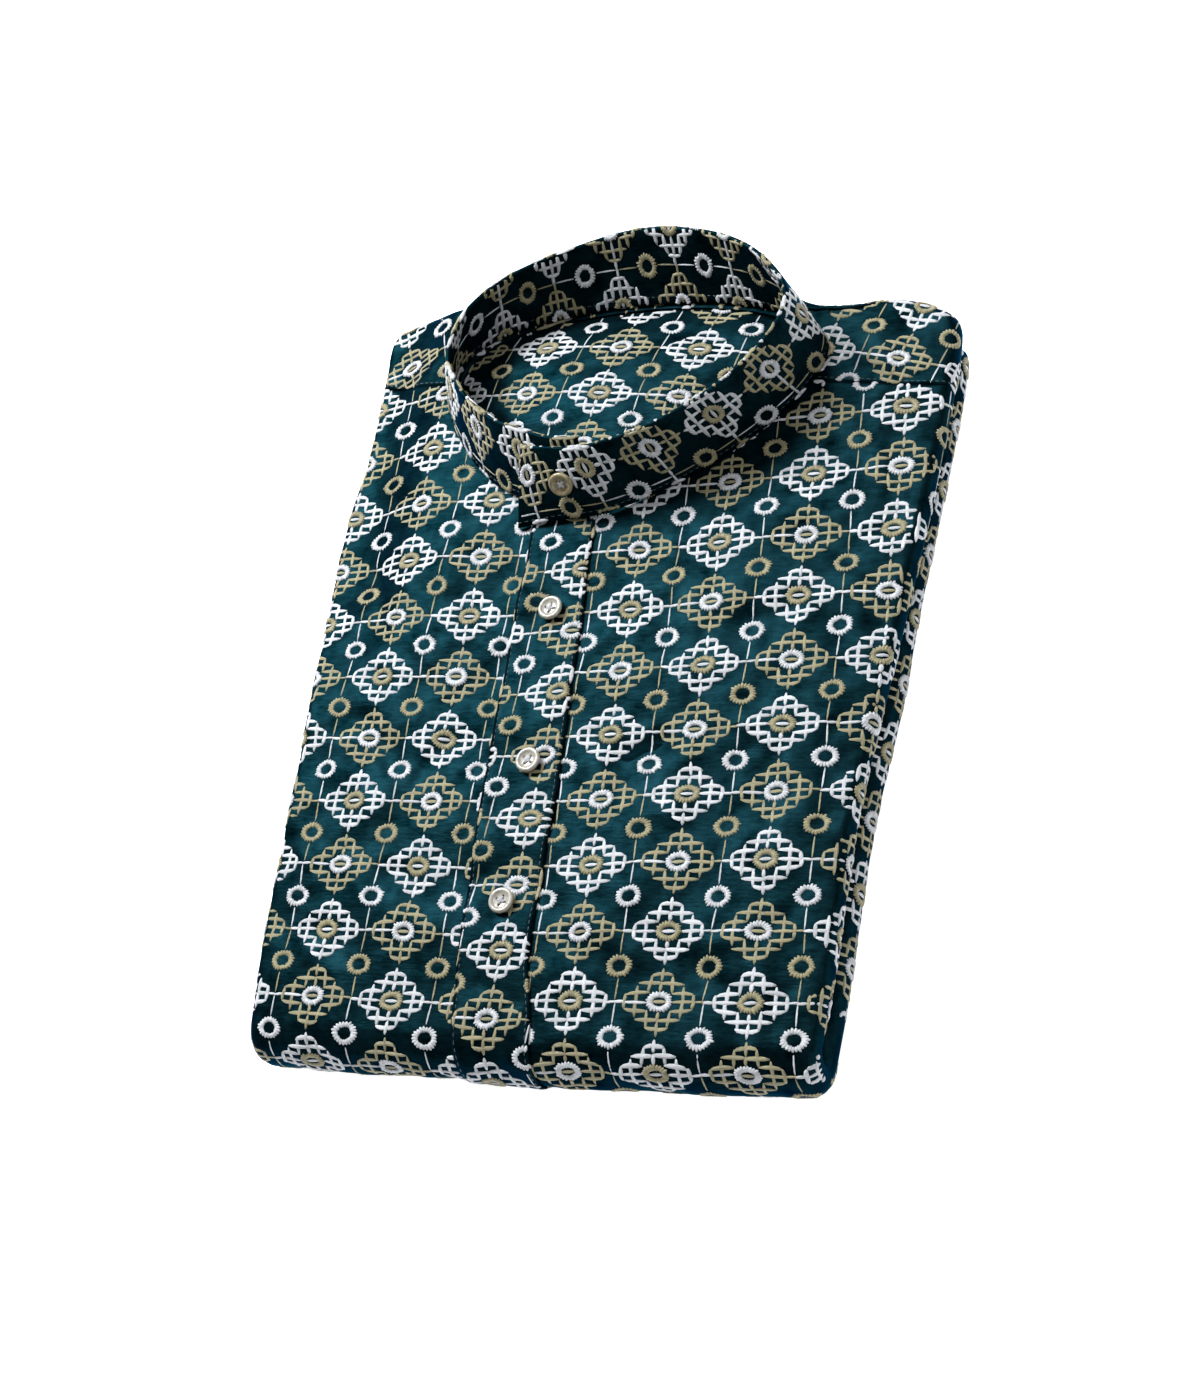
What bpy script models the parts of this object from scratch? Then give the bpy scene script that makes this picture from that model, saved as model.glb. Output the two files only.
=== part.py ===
"""A kurta, a long collared shirt, folded for the shelf and lying face up on a flat surface.

The garment is folded lengthways at both sides, then across, so that it makes an upper page and
a lower page joined by one soft roll at the foot. The stand collar is buttoned into an open ring.

Axes: +X is the wearer's left, +Y points from the foot roll to the collar, +Z is up. The origin is
in the middle of the pack's box, on the surface that it lies on. The tables are in millimetres.
"""

import math
from collections import namedtuple

import bmesh
import bpy
import numpy as np

MM = 0.001

# ---- driving dimensions, millimetres ----
CLOTH = 1.2  # woven cloth with its embroidery
SEAM_GAP = 0.3  # left between pieces that touch
ROLL_RADIUS = 17.0  # half the thickness of the folded pack
UPPER_PAGE_RADIUS = 6.0  # rounding of the upper page's side folds
LOWER_PAGE_RADIUS = 9.5  # rounding of the lower page's side folds
TURN_UNDER = 6.0  # how far the cloth runs on between the pages
FAR_END = 7.0  # how far the lower page stops short of the shoulders
LOWER_HEM = 145.0  # where the fronts end on the lower page
PLACKET_RISE = CLOTH + SEAM_GAP
PLACKET_END = math.radians(142)  # how far the placket follows the roll
SEAM_LAP = 6.0  # how far the fronts reach in under the placket
BAND_THICKNESS = 2.2  # two layers of cloth and a stiffener
BAND_TO_NECK = 3.3  # from the band's middle to the cut edge of the neck
BUTTON_DIAMETER = 11.4  # an 18-line shirt button
BUTTON_THICKNESS = 2.6
BUTTON_LIFT = 0.5  # thread shank under a button

# The pack's outline seen from above, from the right end of the roll round by the collar to the
# left end of it. A row for each bend.
Bend = namedtuple("Bend", "x y")
OUTLINE = (
    Bend(120.5, -178),
    Bend(122.0, -150),
    Bend(124.0, -80),
    Bend(131.0, -15),
    Bend(136.0, 30),
    Bend(139.5, 68),
    Bend(142.5, 105),
    Bend(144.0, 132),
    Bend(142.5, 148),
    Bend(133.0, 156.5),
    Bend(120.0, 161.5),
    Bend(106.0, 164.0),
    Bend(92.0, 163.0),
    Bend(76.0, 165.0),
    Bend(56.0, 173.5),
    Bend(20.0, 183),
    Bend(-20.0, 184.5),
    Bend(-60.0, 184),
    Bend(-92.0, 183.5),
    Bend(-112.0, 181),
    Bend(-130.0, 174),
    Bend(-141.5, 165),
    Bend(-144.0, 150),
    Bend(-143.0, 110),
    Bend(-141.5, 68),
    Bend(-143.5, -15),
    Bend(-143.5, -80),
    Bend(-140.5, -140),
    Bend(-139.0, -172),
)

# The foot of the roll, a row for each bend, left to right.
FOOT = (
    Bend(-144, -188.5),
    Bend(-100, -190.5),
    Bend(-40, -192.5),
    Bend(20, -194.5),
    Bend(80, -195),
    Bend(124, -193),
)

# The placket's two long edges.
PlacketStation = namedtuple("PlacketStation", "y left right")
PLACKET = (
    PlacketStation(-200, -37.0, -1.0),
    PlacketStation(-170, -39.5, -3.5),
    PlacketStation(-150, -41.5, -8.0),
    PlacketStation(-125, -43.0, -9.5),
    PlacketStation(-80, -45.5, -9.5),
    PlacketStation(-20, -46.5, -11.5),
    PlacketStation(30, -46.5, -13.5),
    PlacketStation(75, -46.0, -15.5),
)

# The collar band, from its under end at the front, round by the wearer's right and the back, to
# the lapped end that lies on top at the front. A row for each station: its lower and upper edge.
BandStation = namedtuple("BandStation", "x y z rim_x rim_y rim_z")
BAND = (
    BandStation(-18.0, 65.5, 37.6, -16, 86.5, 62),
    BandStation(-36.0, 67.5, 37.6, -34, 89, 61.5),
    BandStation(-56.0, 75.0, 37.0, -51, 95, 62),
    BandStation(-73.5, 86.0, 35.6, -65, 102, 63),
    BandStation(-91.5, 106, 35.6, -82, 118, 63.5),
    BandStation(-103.0, 129, 35.6, -92, 136, 64),
    BandStation(-99.5, 152, 35.6, -88, 158, 64),
    BandStation(-76.0, 166, 35.6, -69, 176, 64),
    BandStation(-40.0, 172, 35.6, -37, 188, 64),
    BandStation(-2.0, 173, 35.6, -2, 193.5, 64.5),
    BandStation(34.0, 169, 35.6, 35, 186, 65.5),
    BandStation(63.0, 159.5, 35.6, 60, 170, 67.5),
    BandStation(83.0, 143, 35.6, 75, 148, 69),
    BandStation(78.5, 122, 35.6, 71.5, 127, 69.5),
    BandStation(56.0, 98, 35.6, 53, 104, 69.5),
    BandStation(22.0, 76.0, 35.8, 21, 86, 68.5),
    BandStation(-10.0, 62.5, 37.6, -10, 79, 66.5),
    BandStation(-33.0, 60.0, 38.0, -31, 81, 65),
    BandStation(-53.0, 58.0, 36.4, -44, 84, 62.5),
)
NECK_STATIONS = 16  # the rest of the band laps over the first of it
NECK_AT_PLACKET = 15.98  # where the placket's inner edge meets the neck
NECK_STEP = 0.05  # between the two fronts there
LEFT_YOKE_SEAM = 13.0  # the neck station where the wearer's left yoke seam ends
RIGHT_YOKE_SEAM = 5.35
LEFT_YOKE_OUTLINE = 6.3  # the outline bend where that seam ends at the side fold
RIGHT_YOKE_OUTLINE = 22.05

LEFT_SIDE = (0, 8)  # the outline bends between which a side fold runs
RIGHT_SIDE = (21, 28)
SHOULDERS = (8.6, 20.4)  # the outline bends between which the hidden layers end
FOLD_TURNS = 6  # facets round a side fold

# Broad soft swells in the upper page, a row for each: middle, turn, half length, half width.
Swell = namedtuple("Swell", "x y turn along across height")
SWELLS = (
    Swell(64, 20, 78, 80, 24, 1.6),
    Swell(98, -84, 84, 70, 18, 1.3),
    Swell(34, -112, 12, 46, 20, 1.2),
    Swell(-88, 34, 76, 74, 20, 1.7),
    Swell(-104, -70, 96, 66, 18, 1.4),
    Swell(-70, -128, 165, 40, 18, 1.2),
    Swell(104, 136, 140, 26, 15, 2.0),
    Swell(-122, 148, 48, 22, 12, 1.5),
)

NECK_MIDDLE = (-8.0, 122.0)
NECK_FLOOR = (  # what shows inside the collar: share of the way out, height
    (0.35, 42.2),
    (0.68, 39.4),
    (0.9, 36.2),
    (1.0, 34.6),
)
NECK_FLOOR_TOP = 43.0

CORE_INSIDE = 2.2  # from the roll's outer face to the hidden layers
CORE_CORNER = 3.0  # the hidden layers' rounding where a side fold meets the roll
BESIDE_ROLL = 20.0  # the length over which they draw in towards that corner
BESIDE_ROLL_INSET = 4.0
CORE_BETWEEN_PAGES = 20.0  # how far they stay inside the gap between the pages

# The hidden layers, a row for each height: how far they lie in from the pack's outline at the
# side folds, and at the open end under the collar, where every layer ends in its own small step.
Layer = namedtuple("Layer", "z side end between_pages", defaults=(False,))
LAYERS = (
    Layer(1.7, 11.0, 5.0),
    Layer(3.0, 6.2, 1.6),
    Layer(5.2, 3.8, 0.8),
    Layer(6.6, 3.0, 3.4),
    Layer(8.2, 2.5, 0.4),
    Layer(10.8, 2.5, 0.2),
    Layer(12.2, 2.9, 3.2, True),
    Layer(13.6, 3.8, 0.8, True),
    Layer(15.8, 6.2, 1.6, True),
    Layer(17.2, 11.0, 5.0, True),
    Layer(17.4, 20.0, 20.0, True),
    Layer(23.4, 20.0, 20.0, True),
    Layer(23.6, 8.0, 8.0, True),
    Layer(25.0, 4.4, 4.4),
    Layer(28.0, 2.5, 2.5),
    Layer(31.0, 4.4, 4.4),
    Layer(32.3, 8.0, 8.0),
)


def clear_scene():
    for obj in list(bpy.data.objects):
        bpy.data.objects.remove(obj)
    for block in (bpy.data.meshes, bpy.data.materials):
        for item in list(block):
            block.remove(item)


def through(points, place, closed=False):
    """The point at a fractional index of a smooth curve through the rows, every column of them."""
    count = len(points)
    if closed:
        place %= count
    first = math.floor(place) if closed else min(max(math.floor(place), 0), count - 2)
    at = place - first

    def row(index):
        if closed:
            return np.array(points[index % count], float)
        return np.array(points[min(max(index, 0), count - 1)], float)

    before, start, end, after = (row(first + step) for step in (-1, 0, 1, 2))
    leave = (end - before) / 2
    arrive = (after - start) / 2
    return (
        (2 * at**3 - 3 * at**2 + 1) * start
        + (at**3 - 2 * at**2 + at) * leave
        + (3 * at**2 - 2 * at**3) * end
        + (at**3 - at**2) * arrive
    )


def read_off(rows, key, wanted, column):
    """A column of a table at a value of its key column, on straight runs between the rows."""
    keys = [getattr(row, key) for row in rows]
    values = [getattr(row, column) for row in rows]
    return float(np.interp(wanted, keys, values))


def foot_at(x):
    return read_off(FOOT, "x", x, "y")


def outline_normal(place):
    step = 0.05
    run = through(OUTLINE, place + step) - through(OUTLINE, place - step)
    run /= np.hypot(*run)
    return np.array([run[1], -run[0]])


def neck_edge(place):
    """The cut edge of the neck, inside the collar band."""
    stations = [(row.x, row.y) for row in BAND[:NECK_STATIONS]]
    point = through(stations, place, closed=True)
    run = through(stations, place + 0.05, True) - through(stations, place - 0.05, True)
    run /= np.hypot(*run)
    return point + BAND_TO_NECK * np.array([run[1], -run[0]])


def swell_at(x, y):
    """How far the upper page stands proud of its flat level, less beside the collar."""
    height = 0.0
    for swell in SWELLS:
        turn = math.radians(swell.turn)
        along = (x - swell.x) * math.cos(turn) + (y - swell.y) * math.sin(turn)
        across = (y - swell.y) * math.cos(turn) - (x - swell.x) * math.sin(turn)
        height += swell.height * math.exp(
            -((along / swell.along) ** 2) - (across / swell.across) ** 2
        )
    from_neck = math.hypot((x + 10) / 104, (y - 118) / 64)
    return height * min(max((from_neck - 1.0) * 5, 0.0), 1.0)


def on_page(x, y, depth=0.0, roll=0.0):
    """A point of the pack's skin. Roll is 0 on the upper page and pi on the lower one."""
    reach = ROLL_RADIUS - depth
    if roll < math.pi / 2:
        shown = max(1 - max(depth, 0) / UPPER_PAGE_RADIUS, 0)
        reach += swell_at(x, y) * shown * math.cos(roll)
    return x, y - reach * math.sin(roll), ROLL_RADIUS + reach * math.cos(roll)


def page_radius(roll):
    return UPPER_PAGE_RADIUS + (LOWER_PAGE_RADIUS - UPPER_PAGE_RADIUS) * roll / math.pi


def skin_row(inner, edge, outward, roll, columns, turns=FOLD_TURNS):
    """A row of skin points: flat from its inner point, round the fold, and in between the pages."""
    radius = page_radius(roll)
    flat_end = edge - radius * outward
    points = []
    for part in np.linspace(0, 1, columns):
        x, y = inner + (flat_end - inner) * part
        points.append(on_page(x, y, 0, roll))
    for angle in np.linspace(0, math.pi, turns + 1)[1:]:
        x, y = flat_end + outward * radius * math.sin(angle)
        depth = radius * (1 - math.cos(angle))
        points.append(on_page(x, y, depth, roll))
    x, y = flat_end - outward * TURN_UNDER
    points.append(on_page(x, y, 2 * radius, roll))
    return points


def grid_object(name, rows, colour, roughness, thickness, offset=-1.0):
    """An open surface through rows of points, thickened with Solidify."""
    width = len(rows[0])
    points = [[value * MM for value in point] for row in rows for point in row]
    faces = [
        (
            row * width + column,
            row * width + column + 1,
            (row + 1) * width + column + 1,
            (row + 1) * width + column,
        )
        for row in range(len(rows) - 1)
        for column in range(width - 1)
    ]
    return shell_object(name, points, faces, colour, roughness, thickness, offset)


def shell_object(name, points, faces, colour, roughness, thickness, offset):
    obj = mesh_object(name, points, faces, colour, roughness)
    shell = obj.modifiers.new("cloth", "SOLIDIFY")
    shell.thickness = thickness * MM
    shell.offset = offset
    shell.use_even_offset = True
    return obj


def mesh_object(name, points, faces, colour, roughness):
    mesh = bpy.data.meshes.new(name)
    mesh.from_pydata(points, [], faces)
    mesh.update()
    mesh.shade_smooth()
    obj = bpy.data.objects.new(name, mesh)
    obj.data.materials.append(finish(name, colour, roughness))
    bpy.data.collections["kurta"].objects.link(obj)
    return obj


def finish(name, colour, roughness):
    material = bpy.data.materials.new(name + "_finish")
    material.use_nodes = True
    shader = material.node_tree.nodes["Principled BSDF"]
    shader.inputs["Base Color"].default_value = (*colour, 1)
    shader.inputs["Roughness"].default_value = roughness
    shader.inputs["Metallic"].default_value = 0.0
    return material


TEAL = (0.012, 0.045, 0.058)
TEAL_INSIDE = (0.010, 0.036, 0.048)


def outline_place(y, side):
    """The fractional bend where the outline's side fold is at this y."""
    places = np.linspace(*(LEFT_SIDE if side > 0 else RIGHT_SIDE), 161)
    gaps = [abs(through(OUTLINE, place)[1] - y) for place in places]
    return float(places[int(np.argmin(gaps))])


def side_fold_x(y, side):
    """The outline at this y, carried straight on beyond its ends at the roll."""
    last_y = (OUTLINE[0] if side > 0 else OUTLINE[-1]).y
    return through(OUTLINE, outline_place(max(y, last_y + 1), side))[0]


def front_rows(side, neck_from, neck_to, outline_to, columns):
    """Rows of a front, from its open end under the collar, round the roll, up to its yoke seam."""
    outward = np.array([float(side), 0.0])

    def straight(y, roll):
        edge = np.array([side_fold_x(y, side), y])
        inner = np.array([front_inner_x(y, side), y])
        return skin_row(inner, edge, outward, roll, columns)

    def rolled(roll):
        radius = page_radius(roll)
        flat = straight(roll_y, roll)
        depths = [0.0] * columns
        for angle in np.linspace(0, math.pi, FOLD_TURNS + 1)[1:]:
            depths.append(radius * (1 - math.cos(angle)))
        depths.append(2 * radius)
        return [
            on_page(x, foot_at(x) + ROLL_RADIUS, depth, roll)
            for (x, _, _), depth in zip(flat, depths)
        ]

    roll_y = foot_at(0) + ROLL_RADIUS
    page_start = roll_y + ROLL_RADIUS
    rows = [straight(y, math.pi) for y in np.linspace(LOWER_HEM, page_start, 12)]
    rows += [rolled(roll) for roll in np.linspace(math.pi, 0, 11)]
    neck_y = neck_edge(neck_from)[1]
    rows += [straight(y, 0.0) for y in np.linspace(page_start, neck_y - 12, 15)]
    start = outline_place(neck_y, side)
    for part in np.linspace(0, 1, 9):
        place = start + (outline_to - start) * part
        inner = neck_edge(neck_from + (neck_to - neck_from) * part)
        inner = inner - np.array([0, SEAM_GAP / 2])
        edge = through(OUTLINE, place) - np.array([0, SEAM_GAP / 2])
        rows.append(skin_row(inner, edge, outline_normal(place), 0.0, columns))
    return rows


def front_inner_x(y, side):
    seam = read_off(PLACKET, "y", y, "right") - SEAM_LAP
    return seam if side > 0 else seam - 2 * SEAM_GAP


def front_left():
    """The wearer's left front: upper page, side fold, roll and lower page in one cloth."""
    rows = front_rows(1, NECK_AT_PLACKET, LEFT_YOKE_SEAM, LEFT_YOKE_OUTLINE, 10)
    grid_object("front_left", rows, TEAL, 0.8, CLOTH)


def front_right():
    """The wearer's right front, which runs on under the placket."""
    rows = front_rows(
        -1,
        NECK_AT_PLACKET - NECK_STATIONS + NECK_STEP,
        RIGHT_YOKE_SEAM,
        RIGHT_YOKE_OUTLINE,
        10,
    )
    grid_object("front_right", [row[::-1] for row in rows], TEAL, 0.8, CLOTH)


def yoke():
    """The yoke comes over both shoulders and passes behind the collar, in one piece."""
    rows = []
    for part in np.linspace(0, 1, 32):
        place = LEFT_YOKE_OUTLINE + (RIGHT_YOKE_OUTLINE - LEFT_YOKE_OUTLINE) * part
        station = LEFT_YOKE_SEAM + (RIGHT_YOKE_SEAM - LEFT_YOKE_SEAM) * part
        inner = neck_edge(station)
        edge = through(OUTLINE, place)
        if part in (0, 1):
            shift = np.array([0, SEAM_GAP / 2])
            inner = inner + shift
            edge = edge + shift
        rows.append(skin_row(inner, edge, outline_normal(place), 0.0, 4, 5))
    grid_object("yoke", rows, TEAL, 0.8, CLOTH)


def placket():
    """The buttoned strip down the front. It lies on both fronts and follows the roll."""
    rows = []
    roll_y = foot_at(0) + ROLL_RADIUS

    def strip(y, roll):
        along = y - ROLL_RADIUS * math.sin(min(roll, math.pi / 2))
        left = read_off(PLACKET, "y", along, "left")
        right = read_off(PLACKET, "y", along, "right")
        return [
            on_page(x, y if roll == 0 else foot_at(x) + ROLL_RADIUS, -PLACKET_RISE, roll)
            for x in np.linspace(left, right, 5)
        ]

    rows += [strip(roll_y, roll) for roll in np.linspace(PLACKET_END, 0, 10)]
    rows += [strip(y, 0.0) for y in np.linspace(roll_y + 10, 62, 20)]
    grid_object("placket", rows, TEAL, 0.8, CLOTH)


def back_neck():
    """What shows of the back inside the collar, puffed up a little."""
    middle = np.array(NECK_MIDDLE)
    around = 32
    points = [(*middle, NECK_FLOOR_TOP)]
    for size, height in NECK_FLOOR:
        for station in range(around):
            edge = neck_edge(station * NECK_STATIONS / around)
            run = edge - middle
            edge = edge - run / np.hypot(*run) * (CLOTH + SEAM_GAP)
            points.append((*(middle + (edge - middle) * size), height))
    faces = []
    for ring in range(len(NECK_FLOOR)):
        for station in range(around):
            after = (station + 1) % around
            if ring == 0:
                faces.append((0, 1 + after, 1 + station))
                continue
            inner = 1 + (ring - 1) * around
            outer = inner + around
            faces.append((inner + station, inner + after, outer + after, outer + station))
    points = [[value * MM for value in point] for point in points]
    shell_object("back_neck", points, faces, TEAL_INSIDE, 0.85, CLOTH, -1.0)


def collar_band():
    """The stand collar, one stiffened strip, buttoned into a ring with its left end on top."""
    rows = []
    for place in np.linspace(0, len(BAND) - 1, 67):
        x, y, z, rim_x, rim_y, rim_z = through(BAND, place)
        lower = np.array([x, y, z])
        upper = np.array([rim_x, rim_y, rim_z])
        rows.append([lower + (upper - lower) * part for part in np.linspace(0, 1, 5)])
    grid_object("collar_band", rows, TEAL, 0.75, BAND_THICKNESS, 0.0)


def layer_inset(layer, from_roll):
    """Layers lie further in beside the roll, where both pages' side folds turn with it."""
    beside_roll = max(1 - from_roll / BESIDE_ROLL, 0)
    if layer.between_pages:
        return layer.side + (CORE_BETWEEN_PAGES - layer.side) * min(2 * beside_roll, 1)
    return layer.side + BESIDE_ROLL_INSET * beside_roll


def layer_side(layer, side, top_bend, short):
    """One side of a layer, from the roll to its open end."""
    end = OUTLINE[0] if side > 0 else OUTLINE[-1]
    start = foot_at(end.x) + ROLL_RADIUS
    points = []
    for part in np.linspace(0, 1, 13):
        y = start + (OUTLINE[top_bend].y - short - start) * part
        points.append((side_fold_x(y, side) - side * layer_inset(layer, y - start), y))
    return points


def layer_ring(layer):
    """The outline of the hidden layers at one height."""
    short = FAR_END if layer.z < ROLL_RADIUS + 2 else 0.0
    ring = layer_side(layer, 1, LEFT_SIDE[1] - 1, short)
    widest = [row.x for row in OUTLINE]
    for place in np.linspace(*SHOULDERS, 16):
        x, y = through(OUTLINE, place) - outline_normal(place) * layer.end
        x = min(max(x, min(widest) + 1 + layer.side), max(widest) - 2 - layer.side)
        ring.append((x, y - short))
    ring += reversed(layer_side(layer, -1, RIGHT_SIDE[0] + 1, short))
    height = layer.z - ROLL_RADIUS
    reach = math.sqrt(max((ROLL_RADIUS - CORE_INSIDE) ** 2 - height**2, 1))
    for x in np.linspace(ring[-1][0] + CORE_CORNER, ring[0][0] - CORE_CORNER, 9):
        ring.append((x, foot_at(x) + ROLL_RADIUS - reach))
    return ring


def folded_layers():
    """Back, sleeves and the rest of the fronts, folded in, as one solid layered at its edges."""
    rings = [[(x, y, layer.z) for x, y in layer_ring(layer)] for layer in LAYERS]
    around = len(rings[0])
    points = [[value * MM for value in point] for ring in rings for point in ring]
    faces = []
    for level in range(len(rings) - 1):
        low = level * around
        high = low + around
        for station in range(around):
            after = (station + 1) % around
            faces.append((low + station, low + after, high + after, high + station))
    faces.append(tuple(reversed(range(around))))
    faces.append(tuple(range((len(rings) - 1) * around, len(rings) * around)))
    mesh_object("folded_layers", points, faces, TEAL_INSIDE, 0.85)


def hole_cutters():
    """Four thread holes, in a collection of their own that isn't part of the object."""
    holes = bpy.data.meshes.new("thread_holes")
    cutter = bmesh.new()
    spread = 1.35 * MM
    for x, y in ((1, 1), (-1, 1), (-1, -1), (1, -1)):
        made = bmesh.ops.create_cone(
            cutter,
            cap_ends=True,
            segments=8,
            radius1=0.75 * MM,
            radius2=0.75 * MM,
            depth=8 * MM,
        )
        bmesh.ops.translate(cutter, verts=made["verts"], vec=(x * spread, y * spread, 0))
    cutter.to_mesh(holes)
    cutter.free()
    return holes


def button(name, place, tilt, spin, colour, roughness, holes):
    """A turned disc with a raised rim, a dished middle and four holes, lying on its shank."""
    radius = BUTTON_DIAMETER / 2
    top = BUTTON_THICKNESS
    profile = (
        (0.0, top * 0.62),
        (radius * 0.55, top * 0.66),
        (radius * 0.72, top * 0.95),
        (radius * 0.86, top),
        (radius, top * 0.62),
        (radius * 0.97, top * 0.3),
        (radius * 0.6, 0.0),
        (0.0, 0.0),
    )
    mesh = bpy.data.meshes.new(name)
    points = [(across * MM, 0, up * MM) for across, up in profile]
    mesh.from_pydata(points, [(i, i + 1) for i in range(len(points) - 1)], [])
    obj = bpy.data.objects.new(name, mesh)
    bpy.data.collections["kurta"].objects.link(obj)
    turned = obj.modifiers.new("turned", "SCREW")
    turned.angle = math.tau
    turned.steps = turned.render_steps = 24
    turned.use_merge_vertices = True
    turned.merge_threshold = 0.00001
    turned.use_smooth_shade = True
    cutter = bpy.data.objects.new(name + "_holes", holes)
    bpy.data.collections["cutters"].objects.link(cutter)
    cutter.hide_render = True
    cutter.display_type = "WIRE"
    cutter.parent = obj
    bored = obj.modifiers.new("thread holes", "BOOLEAN")
    bored.operation = "DIFFERENCE"
    bored.object = cutter
    obj.data.materials.append(finish(name, colour, roughness))
    obj.location = [value * MM for value in place]
    obj.rotation_euler = (math.radians(tilt[0]), math.radians(tilt[1]), math.radians(spin))


def buttons():
    """One on the collar's lapped end and three down the placket."""
    cream = (0.62, 0.58, 0.5)
    horn = (0.36, 0.31, 0.19)
    holes = hole_cutters()
    for name, x, y, spin in (
        ("button_top", -28.0, 14.6, 35),
        ("button_middle", -25.0, -58.4, 10),
        ("button_low", -25.0, -122.4, 25),
    ):
        z = 2 * ROLL_RADIUS + swell_at(x, y) + PLACKET_RISE + BUTTON_LIFT
        button(name, (x, y, z), (0, 0), spin, cream, 0.35, holes)
    place = len(BAND) - 2.35
    x, y, z, rim_x, rim_y, rim_z = through(BAND, place)
    lower = np.array([x, y, z])
    up = np.array([rim_x, rim_y, rim_z]) - lower
    ahead = through(BAND, place + 0.1)[:3] - through(BAND, place - 0.1)[:3]
    outward = np.cross(up, ahead)
    outward /= np.linalg.norm(outward)
    if outward[1] > 0:
        outward = -outward
    seat = lower + up * 0.5 + outward * (BAND_THICKNESS / 2 + BUTTON_LIFT + 0.3)
    tip = math.degrees(math.acos(outward[2]))
    swing = math.degrees(math.atan2(outward[0], -outward[1]))
    button("button_collar", seat, (tip, 0), swing, horn, 0.4, holes)


def main():
    clear_scene()
    for name in ("kurta", "cutters"):
        collection = bpy.data.collections.new(name)
        bpy.context.scene.collection.children.link(collection)
    folded_layers()
    front_left()
    front_right()
    yoke()
    placket()
    back_neck()
    collar_band()
    buttons()


main()
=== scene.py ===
"""A folded kurta, dark teal slub cloth embroidered all over with a diamond lattice and small rings.

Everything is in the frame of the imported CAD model: +X is the wearer's left, +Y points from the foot
roll to the collar, +Z is up. Cloth, thread and buttons are laid out in millimetres.
"""

import math
from collections import namedtuple

import bpy
import numpy as np
from mathutils import Matrix, Vector
from mathutils.bvhtree import BVHTree


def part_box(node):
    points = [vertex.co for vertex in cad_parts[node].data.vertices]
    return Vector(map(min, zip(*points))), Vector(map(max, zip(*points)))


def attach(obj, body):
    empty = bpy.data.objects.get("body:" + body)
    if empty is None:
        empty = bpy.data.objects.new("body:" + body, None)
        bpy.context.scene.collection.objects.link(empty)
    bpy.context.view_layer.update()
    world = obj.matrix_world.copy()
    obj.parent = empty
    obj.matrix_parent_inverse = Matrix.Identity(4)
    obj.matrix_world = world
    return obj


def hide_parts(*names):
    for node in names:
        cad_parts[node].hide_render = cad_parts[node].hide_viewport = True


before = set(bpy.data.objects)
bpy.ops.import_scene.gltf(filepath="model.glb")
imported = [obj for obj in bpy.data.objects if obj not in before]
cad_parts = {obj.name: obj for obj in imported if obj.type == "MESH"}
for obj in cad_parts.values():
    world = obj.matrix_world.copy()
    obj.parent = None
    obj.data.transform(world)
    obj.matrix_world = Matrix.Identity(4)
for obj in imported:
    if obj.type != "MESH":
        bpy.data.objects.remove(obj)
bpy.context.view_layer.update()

# ---- camera: above the wearer's left foot corner, looking down at the collar ----
CAMERA_AT = (0.4322, -0.4085, 0.8371)
CAMERA_AXES = (  # right, up and back, as columns
    (0.89987, 0.02581, 0.43539),
    (0.15982, 0.90930, -0.38422),
    (-0.40582, 0.41533, 0.81413),
)
camera_data = bpy.data.cameras.new("camera")
camera_data.sensor_width = 36
camera_data.lens = 59.14
camera_data.clip_end = 50
camera = bpy.data.objects.new("camera", camera_data)
bpy.context.scene.collection.objects.link(camera)
camera.matrix_world = Matrix.Translation(CAMERA_AT) @ Matrix(CAMERA_AXES).to_4x4()
bpy.context.scene.camera = camera

# ---- stage: a plain pale floor under soft studio light ----
FLOOR_HALF = 12.0
FLOOR_LEVEL = -0.0005
FLOOR_CORNERS = ((-1, -1), (1, -1), (1, 1), (-1, 1))


def new_material(name, shader_values):
    """A material whose surface shader has these values, with its node tree and that shader."""
    material = bpy.data.materials.new(name)
    material.use_nodes = True
    shader = material.node_tree.nodes["Principled BSDF"]
    for socket, value in shader_values.items():
        shader.inputs[socket].default_value = value
    return material, material.node_tree, shader


bpy.context.scene.view_settings.view_transform = "Standard"
world = bpy.data.worlds.new("studio")
bpy.context.scene.world = world
world.use_nodes = True
sky = world.node_tree.nodes["Background"]
sky.inputs["Color"].default_value = (1.0, 1.0, 1.0, 1)
sky.inputs["Strength"].default_value = 0.2

floor_mesh = bpy.data.meshes.new("floor")
floor_points = [(x * FLOOR_HALF, y * FLOOR_HALF, FLOOR_LEVEL) for x, y in FLOOR_CORNERS]
floor_mesh.from_pydata(floor_points, [], [(0, 1, 2, 3)])
floor = bpy.data.objects.new("floor", floor_mesh)
bpy.context.scene.collection.objects.link(floor)
floor_paint, _, _ = new_material(
    "floor_paint",
    {
        "Base Color": (0.9, 0.91, 0.92, 1),
        "Roughness": 0.9,
        "Emission Color": (1, 1, 1, 1),
        "Emission Strength": 0.85,
    },
)
floor_mesh.materials.append(floor_paint)

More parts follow.
